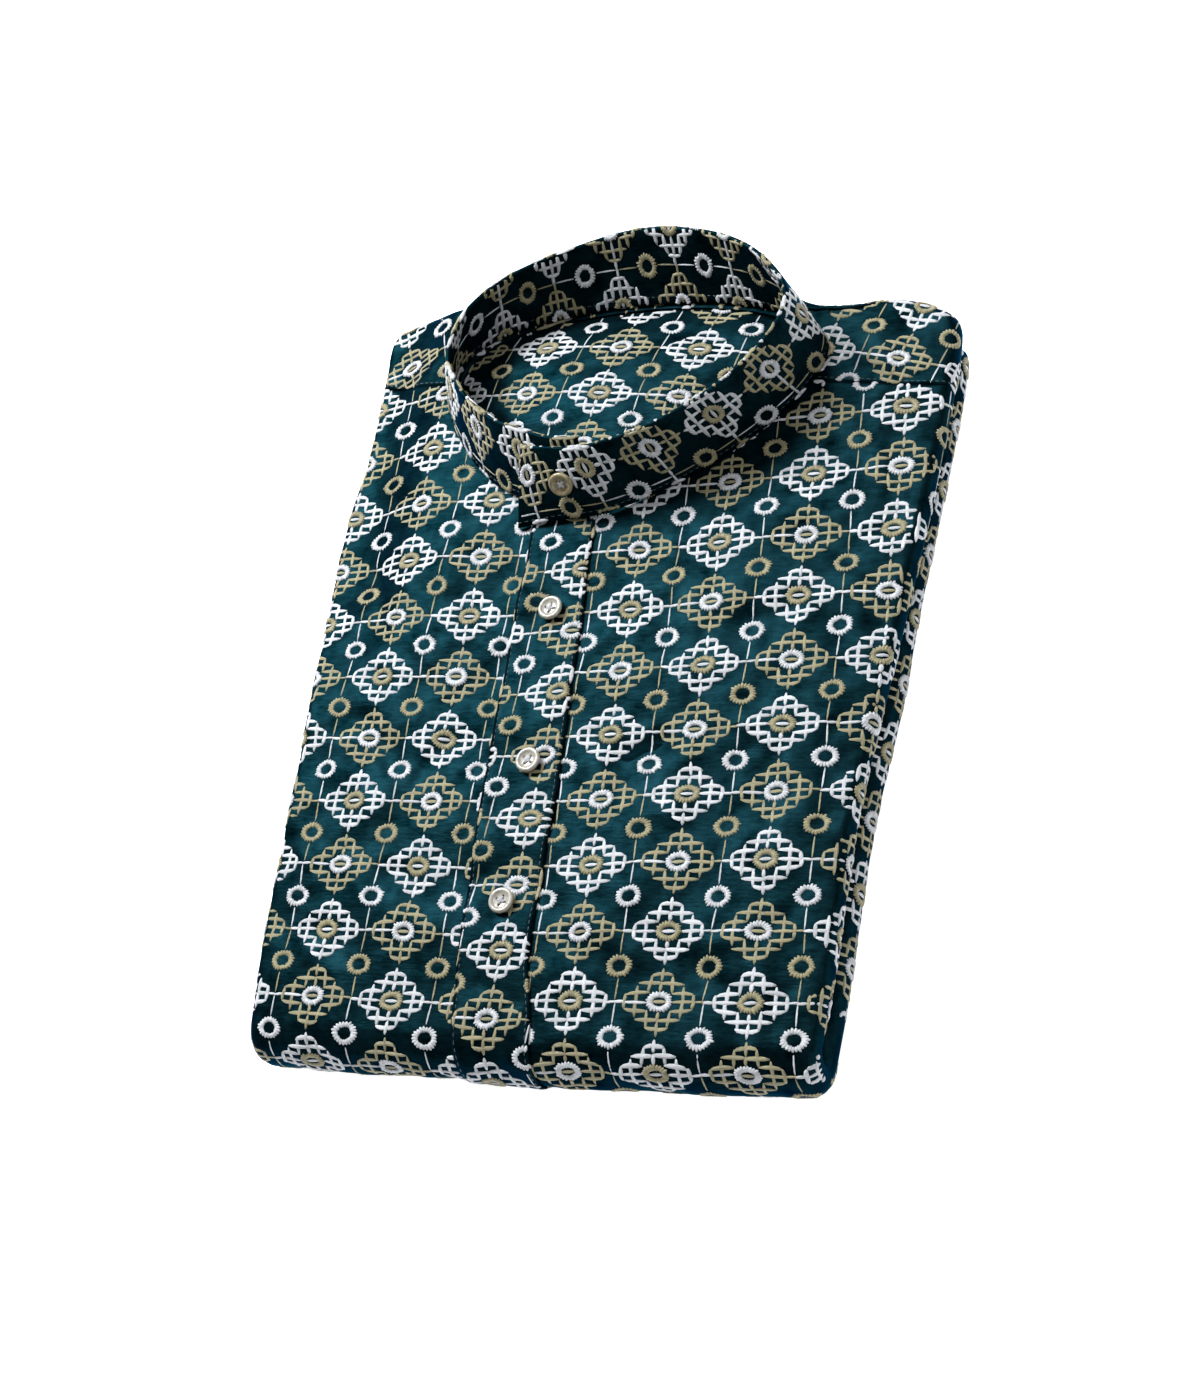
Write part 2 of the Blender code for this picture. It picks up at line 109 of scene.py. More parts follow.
Light = namedtuple("Light", "name x y z size watts")
for light in (
    Light("key", -0.85, 0.62, 1.05, 0.5, 33),
    Light("back", -0.38, 0.98, 1.18, 0.5, 18),
    Light("over", 0.75, 0.2, 1.55, 0.9, 8),
    Light("side", 1.3, -0.9, 0.6, 0.8, 5),
):
    lamp = bpy.data.lights.new(light.name, "AREA")
    lamp.shape = "DISK"
    lamp.size = light.size
    lamp.energy = light.watts
    holder = bpy.data.objects.new(light.name, lamp)
    bpy.context.scene.collection.objects.link(holder)
    holder.location = (light.x, light.y, light.z)
    holder.rotation_euler = (-Vector(holder.location)).to_track_quat("-Z", "Y").to_euler()

# ---- fronts: two panels of slub-woven cotton, embroidered by machine before they are cut ----
# Each runs from its yoke seam down the upper page, turns under along its side, goes round the foot
# roll and on underneath as the lower page, all in one piece.
MM = 0.001
CLOTH_SHOWN = 0.9
SEAM_GAP = 0.3
ROLL_RADIUS = 17.0
UPPER_FOLD = 6.0  # half the thickness of the upper page at its side folds
UPPER_FOLD_REACH = 4.2  # the same fold is pressed, so it is sharper seen from above
LOWER_FOLD = 9.5
LOWER_HEM = 145.0
LOWER_SET_BACK = 2.8
FOLD_STEPS = 14
FOLD_SQUARENESS = 0.9
FOLD_RETURN = (-2.5, -5.5, -8.5)  # the turned edge runs back in under its page
FOLD_COLUMNS = FOLD_STEPS + len(FOLD_RETURN)
FLAT_COLUMNS = 66
LOWER_ROWS = 50
ROLL_ROWS = 31
PAGE_ROWS = 106
SHOULDER_ROWS = 44
SHOULDER_START = 12.0  # the last level row lies this far below the neck
SEAM_LAP = 6.0
BAND_TO_NECK = 3.3

# The pack from above, from the foot on the wearer's left round behind the collar to the other foot.
Bend = namedtuple("Bend", "x y")
OUTLINE = (
    Bend(120.5, -178),
    Bend(122.0, -150),
    Bend(124.0, -80),
    Bend(131.0, -15),
    Bend(136.0, 30),
    Bend(139.5, 68),
    Bend(142.5, 105),
    Bend(144.0, 132),
    Bend(142.5, 148),
    Bend(133.0, 156.5),
    Bend(120.0, 161.5),
    Bend(106.0, 164.0),
    Bend(92.0, 163.0),
    Bend(76.0, 165.0),
    Bend(56.0, 173.5),
    Bend(20.0, 183),
    Bend(-20.0, 184.5),
    Bend(-60.0, 184),
    Bend(-92.0, 183.5),
    Bend(-112.0, 184.5),
    Bend(-136.0, 184.5),
    Bend(-149.0, 176.5),
    Bend(-149.0, 150),
    Bend(-148.5, 110),
    Bend(-152.5, 68),
    Bend(-148.0, -15),
    Bend(-145.7, -80),
    Bend(-143.5, -140),
    Bend(-141.0, -172),
)
# Where the foot roll ends.
FOOT = (
    Bend(-146, -192.0),
    Bend(-100, -192.5),
    Bend(-40, -193.0),
    Bend(20, -194.5),
    Bend(80, -195),
    Bend(124, -193),
)
# The placket's long edges. It covers the cloth under it up to its top.
PLACKET_TOP = 62.0
PlacketStation = namedtuple("PlacketStation", "y left right")
PLACKET = (
    PlacketStation(-200, -37.0, -1.0),
    PlacketStation(-170, -39.5, -3.5),
    PlacketStation(-150, -41.5, -8.0),
    PlacketStation(-125, -43.0, -9.5),
    PlacketStation(-80, -45.5, -9.5),
    PlacketStation(-20, -46.5, -11.5),
    PlacketStation(30, -46.5, -13.5),
    PlacketStation(75, -46.0, -15.5),
)
# The collar band's seam and its rim, from the end that lies underneath round to the lapped end.
BandStation = namedtuple("BandStation", "x y z rim_x rim_y rim_z")
BAND = (
    BandStation(-18.0, 65.5, 37.6, -16, 86.5, 62),
    BandStation(-36.0, 67.5, 37.6, -34, 89, 61.5),
    BandStation(-56.0, 75.0, 37.0, -51, 95, 62),
    BandStation(-73.5, 86.0, 35.6, -65, 102, 63),
    BandStation(-91.5, 106, 35.6, -82, 118, 63.5),
    BandStation(-103.0, 129, 35.6, -92, 136, 64),
    BandStation(-99.5, 152, 35.6, -88, 158, 64),
    BandStation(-76.0, 166, 35.6, -69, 176, 64),
    BandStation(-40.0, 172, 35.6, -37, 188, 64),
    BandStation(-2.0, 173, 35.6, -2, 193.5, 64.5),
    BandStation(34.0, 169, 35.6, 35, 186, 65.5),
    BandStation(63.0, 159.5, 35.6, 60, 170, 67.5),
    BandStation(83.0, 143, 35.6, 75, 148, 69),
    BandStation(78.5, 122, 35.6, 71.5, 127, 69.5),
    BandStation(56.0, 98, 35.6, 53, 104, 69.5),
    BandStation(22.0, 76.0, 35.8, 21, 86, 68.5),
    BandStation(-10.0, 62.5, 37.6, -10, 79, 66.5),
    BandStation(-33.0, 60.0, 38.0, -31, 81, 65),
    BandStation(-53.0, 58.0, 36.4, -44, 84, 62.5),
)
# Places round the neck are counted in the band's stations, and places round the pack in its bends.
NECK = [(row.x, row.y) for row in BAND[:16]]  # once round, without the lap
LEFT_NECK_START = 15.98
RIGHT_NECK_START = LEFT_NECK_START - len(NECK) + 0.05
LEFT_YOKE_SEAM = 13.0
RIGHT_YOKE_SEAM = 5.35
LEFT_YOKE_OUTLINE = 6.3
RIGHT_YOKE_OUTLINE = 22.05
LEFT_SIDE = (0, 8)
RIGHT_SIDE = (21, 28)
SIDE_SAMPLES = 321

# Broad swells, as in the CAD model: middle, turn, half length, half width, height.
Swell = namedtuple("Swell", "x y turn along across height")
SWELLS = (
    Swell(64, 20, 78, 80, 24, 1.6),
    Swell(98, -84, 84, 70, 18, 1.3),
    Swell(34, -112, 12, 46, 20, 1.2),
    Swell(-88, 34, 76, 74, 20, 1.7),
    Swell(-104, -70, 96, 66, 18, 1.4),
    Swell(-70, -128, 165, 40, 18, 1.2),
    Swell(104, 136, 140, 26, 15, 2.0),
    Swell(-122, 148, 48, 22, 12, 1.5),
)

# Creases: from, to, how far the middle bows, half width, height. Troughs are negative.
Crease = namedtuple("Crease", "x y end_x end_y bow wide height")
CREASES = (
    Crease(-120, 128, -96, 74, 5, 5, -1.1),
    Crease(-104, 60, -60, 84, -4, 5, 0.9),
    Crease(-134, 52, -112, -6, 4, 5, -1.0),
    Crease(-98, 18, -64, -22, -5, 6, 0.9),
    Crease(-126, -30, -88, -64, 5, 6, -0.9),
    Crease(-84, -70, -56, -40, 3, 5, -0.7),
    Crease(-136, -92, -104, -120, -5, 5, 0.9),
    Crease(-92, -104, -54, -134, 4, 6, -0.9),
    Crease(-128, -136, -80, -160, -4, 5, 0.8),
    Crease(6, 44, 52, 30, 5, 6, -0.9),
    Crease(38, 66, 92, 60, -6, 6, 0.8),
    Crease(70, 92, 118, 72, 5, 6, -1.0),
    Crease(-4, 6, 34, -18, 4, 5, 0.7),
    Crease(48, 4, 96, 22, -4, 7, -0.8),
    Crease(104, 36, 122, -20, 3, 5, 0.8),
    Crease(4, -52, 50, -42, -4, 6, -0.8),
    Crease(64, -40, 104, -66, 5, 6, 0.8),
    Crease(18, -92, 66, -80, 4, 6, 0.7),
    Crease(80, -98, 112, -136, -4, 5, -0.9),
    Crease(6, -128, 44, -150, 4, 5, 0.8),
    Crease(52, -140, 96, -158, -3, 5, -0.7),
    Crease(92, 132, 134, 118, -3, 4, -0.9),
    Crease(84, 122, 138, 92, 4, 4, 0.9),
    Crease(-98, 104, -128, 84, 3, 4, 0.8),
    Crease(-88, 84, -46, 62, -4, 4, -0.7),
)


def through(points, place, closed=False):
    """The point at a fractional index of a smooth curve through the rows, every column of them."""
    count = len(points)
    if closed:
        place %= count
    first = math.floor(place) if closed else min(max(math.floor(place), 0), count - 2)
    at = place - first

    def row(index):
        if closed:
            return np.array(points[index % count], float)
        return np.array(points[min(max(index, 0), count - 1)], float)

    before, start, end, after = (row(first + step) for step in (-1, 0, 1, 2))
    leave = (end - before) / 2
    arrive = (after - start) / 2
    return (
        (2 * at**3 - 3 * at**2 + 1) * start
        + (at**3 - 2 * at**2 + at) * leave
        + (3 * at**2 - 2 * at**3) * end
        + (at**3 - at**2) * arrive
    )


def read_off(rows, key, wanted, column):
    """A column of a table at a value of its key column, on straight runs between the rows."""
    keys = [getattr(row, key) for row in rows]
    return np.interp(wanted, keys, [getattr(row, column) for row in rows])


def foot_at(x):
    return read_off(FOOT, "x", x, "y")


def square_to(points, place, closed=False):
    """The direction square to a curve, to the right of its run."""
    run = through(points, place + 0.05, closed) - through(points, place - 0.05, closed)
    run /= np.hypot(*run)
    return np.array([run[1], -run[0]])


def neck_edge(place):
    """The cut edge of the neck, inside the collar band."""
    return through(NECK, place, True) + BAND_TO_NECK * square_to(NECK, place, True)


side_places = {1: np.linspace(*LEFT_SIDE, SIDE_SAMPLES), -1: np.linspace(*RIGHT_SIDE, SIDE_SAMPLES)}
side_points = {
    side: np.array([through(OUTLINE, place) for place in places])
    for side, places in side_places.items()
}


def outline_place(y, side):
    """The fractional bend where the outline's side is at this y."""
    nearest = np.argmin(abs(side_points[side][:, 1] - y))
    return float(side_places[side][nearest])


def side_fold_x(y, side):
    """Where the outline's side is at this y, or at the foot for what lies beyond it."""
    last_y = (OUTLINE[0] if side > 0 else OUTLINE[-1]).y
    points = side_points[side]
    order = np.argsort(points[:, 1])
    return float(np.interp(max(y, last_y + 1), points[order, 1], points[order, 0]))


def ease(share):
    share = np.clip(share, 0, 1)
    return share * share * (3 - 2 * share)


def mottle(x, y, size, seed):
    """Smooth noise from -1 to 1, the same on every run."""
    table = np.random.default_rng(seed).uniform(-1, 1, (97, 89))
    across = np.asarray(x) / size
    along = np.asarray(y) / size
    column = np.floor(across).astype(int)
    row = np.floor(along).astype(int)
    across = ease(across - column)
    along = ease(along - row)

    def at(right, up):
        return table[(column + right) % 97, (row + up) % 89]

    low = at(0, 0) * (1 - across) + at(1, 0) * across
    high = at(0, 1) * (1 - across) + at(1, 1) * across
    return low * (1 - along) + high * along


CREASE_WANDER = 1.6
CREASE_STEEP = 0.75
CREASE_GENTLE = 1.3


def crease_relief(x, y, creases):
    """The height of soft uneven troughs and ridges, each steeper on one side."""
    height = np.zeros_like(x)
    for number, crease in enumerate(creases):
        run = np.array([crease.end_x - crease.x, crease.end_y - crease.y], float)
        length = np.hypot(*run)
        run /= length
        share = ((x - crease.x) * run[0] + (y - crease.y) * run[1]) / length
        across = (y - crease.y) * run[0] - (x - crease.x) * run[1]
        across = across - crease.bow * 4 * share * (1 - share)
        across = across + CREASE_WANDER * mottle(share * length, 0 * x, 16, number)
        wide = crease.wide * np.where(across > 0, CREASE_STEEP, CREASE_GENTLE)
        fade = ease(share * 3.2 + 0.15) * ease((1 - share) * 2.4 + 0.1)
        height += crease.height * fade * np.exp(-((across / wide) ** 2))
    return height


def relief(x, y):
    """How far the cloth stands proud of the pack's plain form."""
    height = np.zeros_like(x)
    for swell in SWELLS:
        turn = math.radians(swell.turn)
        along = (x - swell.x) * math.cos(turn) + (y - swell.y) * math.sin(turn)
        across = (y - swell.y) * math.cos(turn) - (x - swell.x) * math.sin(turn)
        height += swell.height * np.exp(-((along / swell.along) ** 2) - (across / swell.across) ** 2)
    height += 1.5 * crease_relief(x, y, CREASES)
    # Puckers of three sizes.
    height += 1.0 * mottle(x + 0.3 * y, y, 19, 3) + 0.65 * mottle(x, y - 0.2 * x, 9.5, 4)
    height += 0.2 * mottle(x, y, 4.6, 5)
    # The collar's stiff seam holds the cloth flat in an oval round the neck.
    from_neck = np.hypot((x + 10) / 104, (y - 118) / 64)
    return height * np.clip((from_neck - 0.98) * 5, 0.06, 1.0)


ON_CUT = slice(4, 6)  # of a point in a row of cloth: where it lies on the flat cloth


def cloth_row(inner, edge, outward, roll, flat_columns, rolled=False):
    """A row of cloth across the pack: x, y, depth, roll, and where it lies on the flat cloth."""
    share = roll / math.pi
    deep = UPPER_FOLD + (LOWER_FOLD - UPPER_FOLD) * share
    reach = UPPER_FOLD_REACH + (LOWER_FOLD - UPPER_FOLD_REACH) * share
    flat_end = edge - reach * outward
    part = np.linspace(0, 1, flat_columns)[:, None]
    flat = inner + (flat_end - inner) * part
    turn = np.linspace(0, math.pi, FOLD_STEPS + 1)[1:]
    out = np.concatenate([reach * np.sin(turn) ** FOLD_SQUARENESS, FOLD_RETURN])
    down = np.concatenate([deep * (1 - np.cos(turn)), [2 * deep] * len(FOLD_RETURN)])
    steps = np.hypot(np.diff(np.concatenate([[0], out])), np.diff(np.concatenate([[0], down])))
    arc = np.cumsum(steps)
    place = np.concatenate([flat, flat_end + outward * out[:, None]])
    cut = np.concatenate([flat, flat_end + outward * arc[:, None]])
    depth = np.concatenate([np.zeros(flat_columns), down])
    if rolled:
        place[:, 1] = foot_at(place[:, 0]) + ROLL_RADIUS
        cut[:, 1] = place[:, 1]
    cut[:, 1] -= ROLL_RADIUS * roll
    return np.column_stack([place, depth, np.full(len(place), roll), cut])


SLUMP = 0.36
SLUMP_SPREAD = 0.42
SLUMP_FROM = Bend(-104, -40)
SLUMP_OVER = Bend(38, 120)


def shoulder_slump(points):
    """The pack is thinner along the wearer's right side, from below the chest to the shoulder."""
    x, y, z = points[..., 0], points[..., 1], points[..., 2]
    share = SLUMP * ease((y - SLUMP_FROM.y) / SLUMP_OVER.y) * ease((SLUMP_FROM.x - x) / SLUMP_OVER.x)
    # An edge that sinks spreads outwards by nearly half as much.
    points[..., 0] = x - SLUMP_SPREAD * z * share
    points[..., 2] = z * (1 - share)
    return points


def lay(grid, lift=0.0):
    """Puts rows of cloth on the pack: upper page, roll or lower page, with their relief."""
    x, y, depth, roll, cut_x, cut_y = np.moveaxis(grid, -1, 0)
    # The relief fades on the side folds and where the roll turns under.
    shown = np.clip(1 - depth / UPPER_FOLD, 0, 1) * ease((2.3 - roll) / 0.9)
    reach = ROLL_RADIUS - depth + lift + relief(cut_x, cut_y) * shown
    reach = reach + 0.5 * mottle(cut_y, cut_x, 15, 8) * ease(depth / 5) * (roll < 1.6)
    points = np.stack([x, y - reach * np.sin(roll), ROLL_RADIUS + reach * np.cos(roll)], -1)
    return shoulder_slump(points)


def piece_of(name, points, faces, material):
    mesh = bpy.data.meshes.new(name)
    mesh.from_pydata((np.asarray(points).reshape(-1, 3) * MM).tolist(), [], faces)
    mesh.update()
    mesh.shade_smooth()
    mesh.materials.append(material)
    piece = bpy.data.objects.new(name, mesh)
    bpy.context.scene.collection.objects.link(piece)
    return piece


def grid_faces(rows, columns, around=False):
    """Quads of a grid of points. Around closes each row on itself."""
    number = np.arange(rows * columns).reshape(rows, columns)
    if around:
        number = np.concatenate([number, number[:, :1]], 1)
    corners = (number[:-1, :-1], number[:-1, 1:], number[1:, 1:], number[1:, :-1])
    return np.stack(corners, -1).reshape(-1, 4)


def unit(vectors):
    return vectors / np.maximum(np.linalg.norm(vectors, axis=-1, keepdims=True), 1e-9)


class Cloth:
    """A laid grid of cloth, on which a place of the flat cloth can be found again."""

    EDGE_SLACK = 0.02

    def __init__(self, points, cut, covered=None):
        rows, columns = points.shape[:2]
        quads = grid_faces(rows, columns)
        self.triangles = np.concatenate([quads[:, [0, 1, 2]], quads[:, [0, 2, 3]]])
        self.points = points.reshape(-1, 3)
        self.cut = cut.reshape(-1, 2)
        normals = np.cross(np.gradient(points, axis=1), np.gradient(points, axis=0))
        self.normals = unit(normals).reshape(-1, 3)
        self.covered = covered
        flat = [(x, y, 0.0) for x, y in self.cut.tolist()]
        self.tree = BVHTree.FromPolygons(flat, self.triangles.tolist(), epsilon=0.0)
        self.low = self.cut.min(0)
        self.high = self.cut.max(0)

    def find(self, places):
        """Points and normals of places on the flat cloth, and which of them are on this piece."""
        wanted = np.asarray(places).reshape(-1, 2)
        found = [self.tree.find_nearest((x, y, 0.0)) for x, y in wanted.tolist()]
        nearest = np.array([hit[0][:2] for hit in found])
        corners = self.triangles[[hit[2] for hit in found]]
        inside = np.array([hit[3] for hit in found]) < self.EDGE_SLACK
        if self.covered is not None:
            inside &= ~self.covered(wanted[:, 0], wanted[:, 1])
        a, b, c = (self.cut[corners[:, corner]] for corner in range(3))
        area = (b - a)[:, 0] * (c - a)[:, 1] - (b - a)[:, 1] * (c - a)[:, 0]
        area = np.where(abs(area) < 1e-9, 1e-9, area)
        at = nearest - a
        second = (at[:, 0] * (c - a)[:, 1] - at[:, 1] * (c - a)[:, 0]) / area
        third = ((b - a)[:, 0] * at[:, 1] - (b - a)[:, 1] * at[:, 0]) / area
        shares = np.clip(np.stack([1 - second - third, second, third], -1), -0.01, 1.01)
        points = (self.points[corners] * shares[..., None]).sum(1)
        normals = unit((self.normals[corners] * shares[..., None]).sum(1))
        shape = np.asarray(places).shape[:-1]
        return points.reshape(*shape, 3), normals.reshape(*shape, 3), inside.reshape(shape)


def feed(tree, socket, value):
    """Links another node's output to a socket, or sets the socket to a plain value."""
    if isinstance(value, bpy.types.NodeSocket):
        tree.links.new(value, socket)
    else:
        socket.default_value = value


def add_node(tree, kind, *operands, **settings):
    """A new node. Operands feed its inputs in order, and settings are inputs or options by name."""
    node = tree.nodes.new(kind)
    for socket, value in zip(node.inputs, operands):
        feed(tree, socket, value)
    for name, value in settings.items():
        if name in node.inputs:
            feed(tree, node.inputs[name], value)
        else:
            setattr(node, name, value)
    return node


def noise(tree, vector, scale, detail, roughness=0.5, distortion=0.0):
    node = add_node(tree, "ShaderNodeTexNoise", Vector=vector, Scale=scale, Detail=detail)
    node.inputs["Roughness"].default_value = roughness
    node.inputs["Distortion"].default_value = distortion
    return node.outputs["Fac"]


def ramp_between(tree, share, first, last, start=0.0, end=1.0):
    """A colour that runs from the first to the last as the share goes from start to end."""
    ramp = add_node(tree, "ShaderNodeValToRGB", Fac=share)
    for stop, position, colour in zip(ramp.color_ramp.elements, (start, end), (first, last)):
        stop.position = position
        stop.color = (*colour, 1)
    return ramp.outputs["Color"]


def roughen(tree, shader, height, strength, distance):
    bump = add_node(tree, "ShaderNodeBump", Strength=strength, Distance=distance, Height=height)
    tree.links.new(bump.outputs["Normal"], shader.inputs["Normal"])


def painted_sheen_slub_cloth(name, dark, light):
    """Plain-woven cloth whose uneven weft shows as short streaks across the garment, and whose colour
    also carries soft blotches of painted sheen and shade.
    """
    material, tree, shader = new_material(
        name,
        {
            "Roughness": 0.43,
            "Metallic": 0.6,
            "Specular IOR Level": 0.0,
            "Specular Tint": (0.13, 0.49, 0.63, 1),
        },
    )
    place = add_node(tree, "ShaderNodeTexCoord").outputs["Object"]
    stretched = add_node(tree, "ShaderNodeMapping", Vector=place, Scale=(160, 800, 800))
    slubs = noise(tree, stretched.outputs["Vector"], 1.0, 3.0, 0.6)
    # Soft blotches of painted sheen and shade, which set most of the colour; the weft streaks are the
    # cloth's own.
    painted_sheen_blotches = noise(tree, place, 95.0, 4.0, 0.6)
    weighted_painted_sheen = add_node(tree, "ShaderNodeMath", painted_sheen_blotches, 0.65, operation="MULTIPLY")
    both = add_node(
        tree, "ShaderNodeMath", slubs, 0.35, weighted_painted_sheen.outputs["Value"], operation="MULTIPLY_ADD"
    )
    colour = ramp_between(tree, both.outputs["Value"], dark, light, 0.33, 0.68)
    tree.links.new(colour, shader.inputs["Base Color"])
    weave = noise(tree, place, 1500.0, 1.0)
    summed = add_node(tree, "ShaderNodeMath", weave, 0.5, slubs, operation="MULTIPLY_ADD")
    roughen(tree, shader, summed.outputs["Value"], 0.55, 0.0003)
    return material


def cloth_piece(name, points, faces, material):
    """Single cloth, whose thickness lies under the points."""
    piece = piece_of(name, points, faces, material)
    shell = piece.modifiers.new("cloth", "SOLIDIFY")
    shell.thickness = CLOTH_SHOWN * MM
    shell.offset = -1.0
    return piece


def front_rows(side, neck_from, neck_to, outline_to):
    """Rows of a front, from its open end under the collar, round the roll, up to its yoke seam."""
    outward = np.array([float(side), 0.0])

    def straight(y, roll, rolled=False):
        seam = read_off(PLACKET, "y", y, "right") - SEAM_LAP
        inner = np.array([seam if side > 0 else seam - 2 * SEAM_GAP, y])
        edge = np.array([side_fold_x(y, side), y])
        # On the wearer's left the lower page is set back from the chest up.
        if side > 0 and roll == math.pi:
            edge[0] -= LOWER_SET_BACK * ease((y + 30) / 60)
        return cloth_row(inner, edge, outward, roll, FLAT_COLUMNS, rolled)

    roll_y = float(foot_at(0)) + ROLL_RADIUS
    page_start = roll_y + ROLL_RADIUS
    under = [straight(y, math.pi) for y in np.linspace(LOWER_HEM, page_start, LOWER_ROWS)]
    over = [straight(roll_y, roll, True) for roll in np.linspace(math.pi, 0, ROLL_ROWS)]
    neck_y = neck_edge(neck_from)[1]
    page_end = neck_y - SHOULDER_START
    over += [straight(y, 0.0) for y in np.linspace(page_start, page_end, PAGE_ROWS)]
    start = outline_place(neck_y, side)
    for part in np.linspace(0, 1, SHOULDER_ROWS):
        place = start + (outline_to - start) * part
        inner = neck_edge(neck_from + (neck_to - neck_from) * part)
        inner = inner - np.array([0, SEAM_GAP / 2])
        edge = through(OUTLINE, place) - np.array([0, SEAM_GAP / 2])
        over.append(cloth_row(inner, edge, square_to(OUTLINE, place), 0.0, FLAT_COLUMNS))
    return np.array(under), np.array(over)


ROLL_CORNERS = (-147, 124.5)
ROLL_CORNER_TOP = -172


def out_of_sight(x, y):
    """Cloth that the placket hides, and the pinched corners of the roll."""
    left = read_off(PLACKET, "y", y, "left")
    right = read_off(PLACKET, "y", y, "right")
    under_placket = (x > left + 1.0) & (x < right - 1.0) & (y < PLACKET_TOP)
    corner = ((x < ROLL_CORNERS[0]) | (x > ROLL_CORNERS[1])) & (y < ROLL_CORNER_TOP)
    return under_placket | corner


teal = painted_sheen_slub_cloth("teal_slub_cloth", (0.0003, 0.0022, 0.0030), (0.0030, 0.0152, 0.0205))
cloths = {}
fronts = {}
for name, side, neck_from, neck_to, outline_to in (
    ("front_left", 1, LEFT_NECK_START, LEFT_YOKE_SEAM, LEFT_YOKE_OUTLINE),
    ("front_right", -1, RIGHT_NECK_START, RIGHT_YOKE_SEAM, RIGHT_YOKE_OUTLINE),
):
    under, over = front_rows(side, neck_from, neck_to, outline_to)
    if side < 0:
        under = under[:, ::-1]
        over = over[:, ::-1]
    points = lay(np.concatenate([under, over]))
    faces = grid_faces(*points.shape[:2]).tolist()
    fronts[name] = cloth_piece(name + "_cloth", points, faces, teal)
    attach(fronts[name], "root")
    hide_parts(name)
    cloths[name] = Cloth(points[len(under) :], over[..., ON_CUT], out_of_sight)
    # The lower page is embroidered where its side fold shows, and is measured along itself.
    lower_cut = np.stack([under[..., 4], under[..., 1]], -1)
    folded = slice(-FOLD_COLUMNS, None) if side > 0 else slice(0, FOLD_COLUMNS)
    cloths[name + "_lower"] = Cloth(points[: len(under), folded], lower_cut[:, folded])

# ---- yoke: one piece of the same cloth over both shoulders and behind the collar ----
# It is sewn to both fronts at the shoulder seams and into the collar at the neck, and its outer edge
# turns down over the folded layers.
YOKE_ROWS = 190
YOKE_COLUMNS = 26
YOKE_MIDDLE = -8.0
yoke_rows = []
for part in np.linspace(0, 1, YOKE_ROWS):
    place = LEFT_YOKE_OUTLINE + (RIGHT_YOKE_OUTLINE - LEFT_YOKE_OUTLINE) * part
    inner = neck_edge(LEFT_YOKE_SEAM + (RIGHT_YOKE_SEAM - LEFT_YOKE_SEAM) * part)
    edge = through(OUTLINE, place)
    if part in (0, 1):
        inner = inner + np.array([0, SEAM_GAP / 2])
        edge = edge + np.array([0, SEAM_GAP / 2])
    yoke_rows.append(cloth_row(inner, edge, square_to(OUTLINE, place), 0.0, YOKE_COLUMNS))
yoke_rows = np.array(yoke_rows)
yoke_points = lay(yoke_rows)
yoke_faces = grid_faces(*yoke_points.shape[:2]).tolist()
yoke = cloth_piece("yoke_cloth", yoke_points, yoke_faces, teal)
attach(yoke, "root")
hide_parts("yoke")
left_half = yoke_rows[..., 0].mean(1) > YOKE_MIDDLE
for name, chosen in (("yoke_left", left_half), ("yoke_right", ~left_half)):
    cloths[name] = Cloth(yoke_points[chosen], yoke_rows[chosen][..., ON_CUT])

# ---- placket: the buttoned strip down the front ----
# A folded strip of the same cloth, topstitched along both long edges. It lies on both fronts and
# follows them round the foot roll.
PLACKET_RISE = 1.5
PLACKET_EDGE_DROP = 0.55
PLACKET_EDGE_ROUND = 1.4
PLACKET_END = math.radians(142)
PLACKET_COLUMNS = 21
roll_y = float(foot_at(0)) + ROLL_RADIUS
placket_course = [(roll, roll_y) for roll in np.linspace(PLACKET_END, 0, 26)]
placket_course += [(0.0, y) for y in np.linspace(roll_y + 2, PLACKET_TOP, 120)]
placket_rows = []
for roll, y in placket_course:
    along = y - ROLL_RADIUS * math.sin(min(roll, math.pi / 2))
    left = read_off(PLACKET, "y", along, "left")
    right = read_off(PLACKET, "y", along, "right")
    x = np.linspace(left, right, PLACKET_COLUMNS)
    page_y = np.full_like(x, y) if roll == 0 else foot_at(x) + ROLL_RADIUS
    # The strip's long edges are folded, so they round down to the fronts.
    edge = np.clip(np.minimum(x - left, right - x) / PLACKET_EDGE_ROUND, 0, 1)
    depth = PLACKET_EDGE_DROP * (1 - np.sqrt(edge))
    placket_rows.append(
        np.column_stack([x, page_y, depth, np.full_like(x, roll), x, page_y - ROLL_RADIUS * roll])
    )
placket_rows = np.array(placket_rows)
placket_points = lay(placket_rows, PLACKET_RISE)
placket_faces = grid_faces(*placket_points.shape[:2]).tolist()
placket = cloth_piece("placket_cloth", placket_points, placket_faces, teal)
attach(placket, "root")
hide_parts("placket")
cloths["placket"] = Cloth(placket_points, placket_rows[..., ON_CUT])

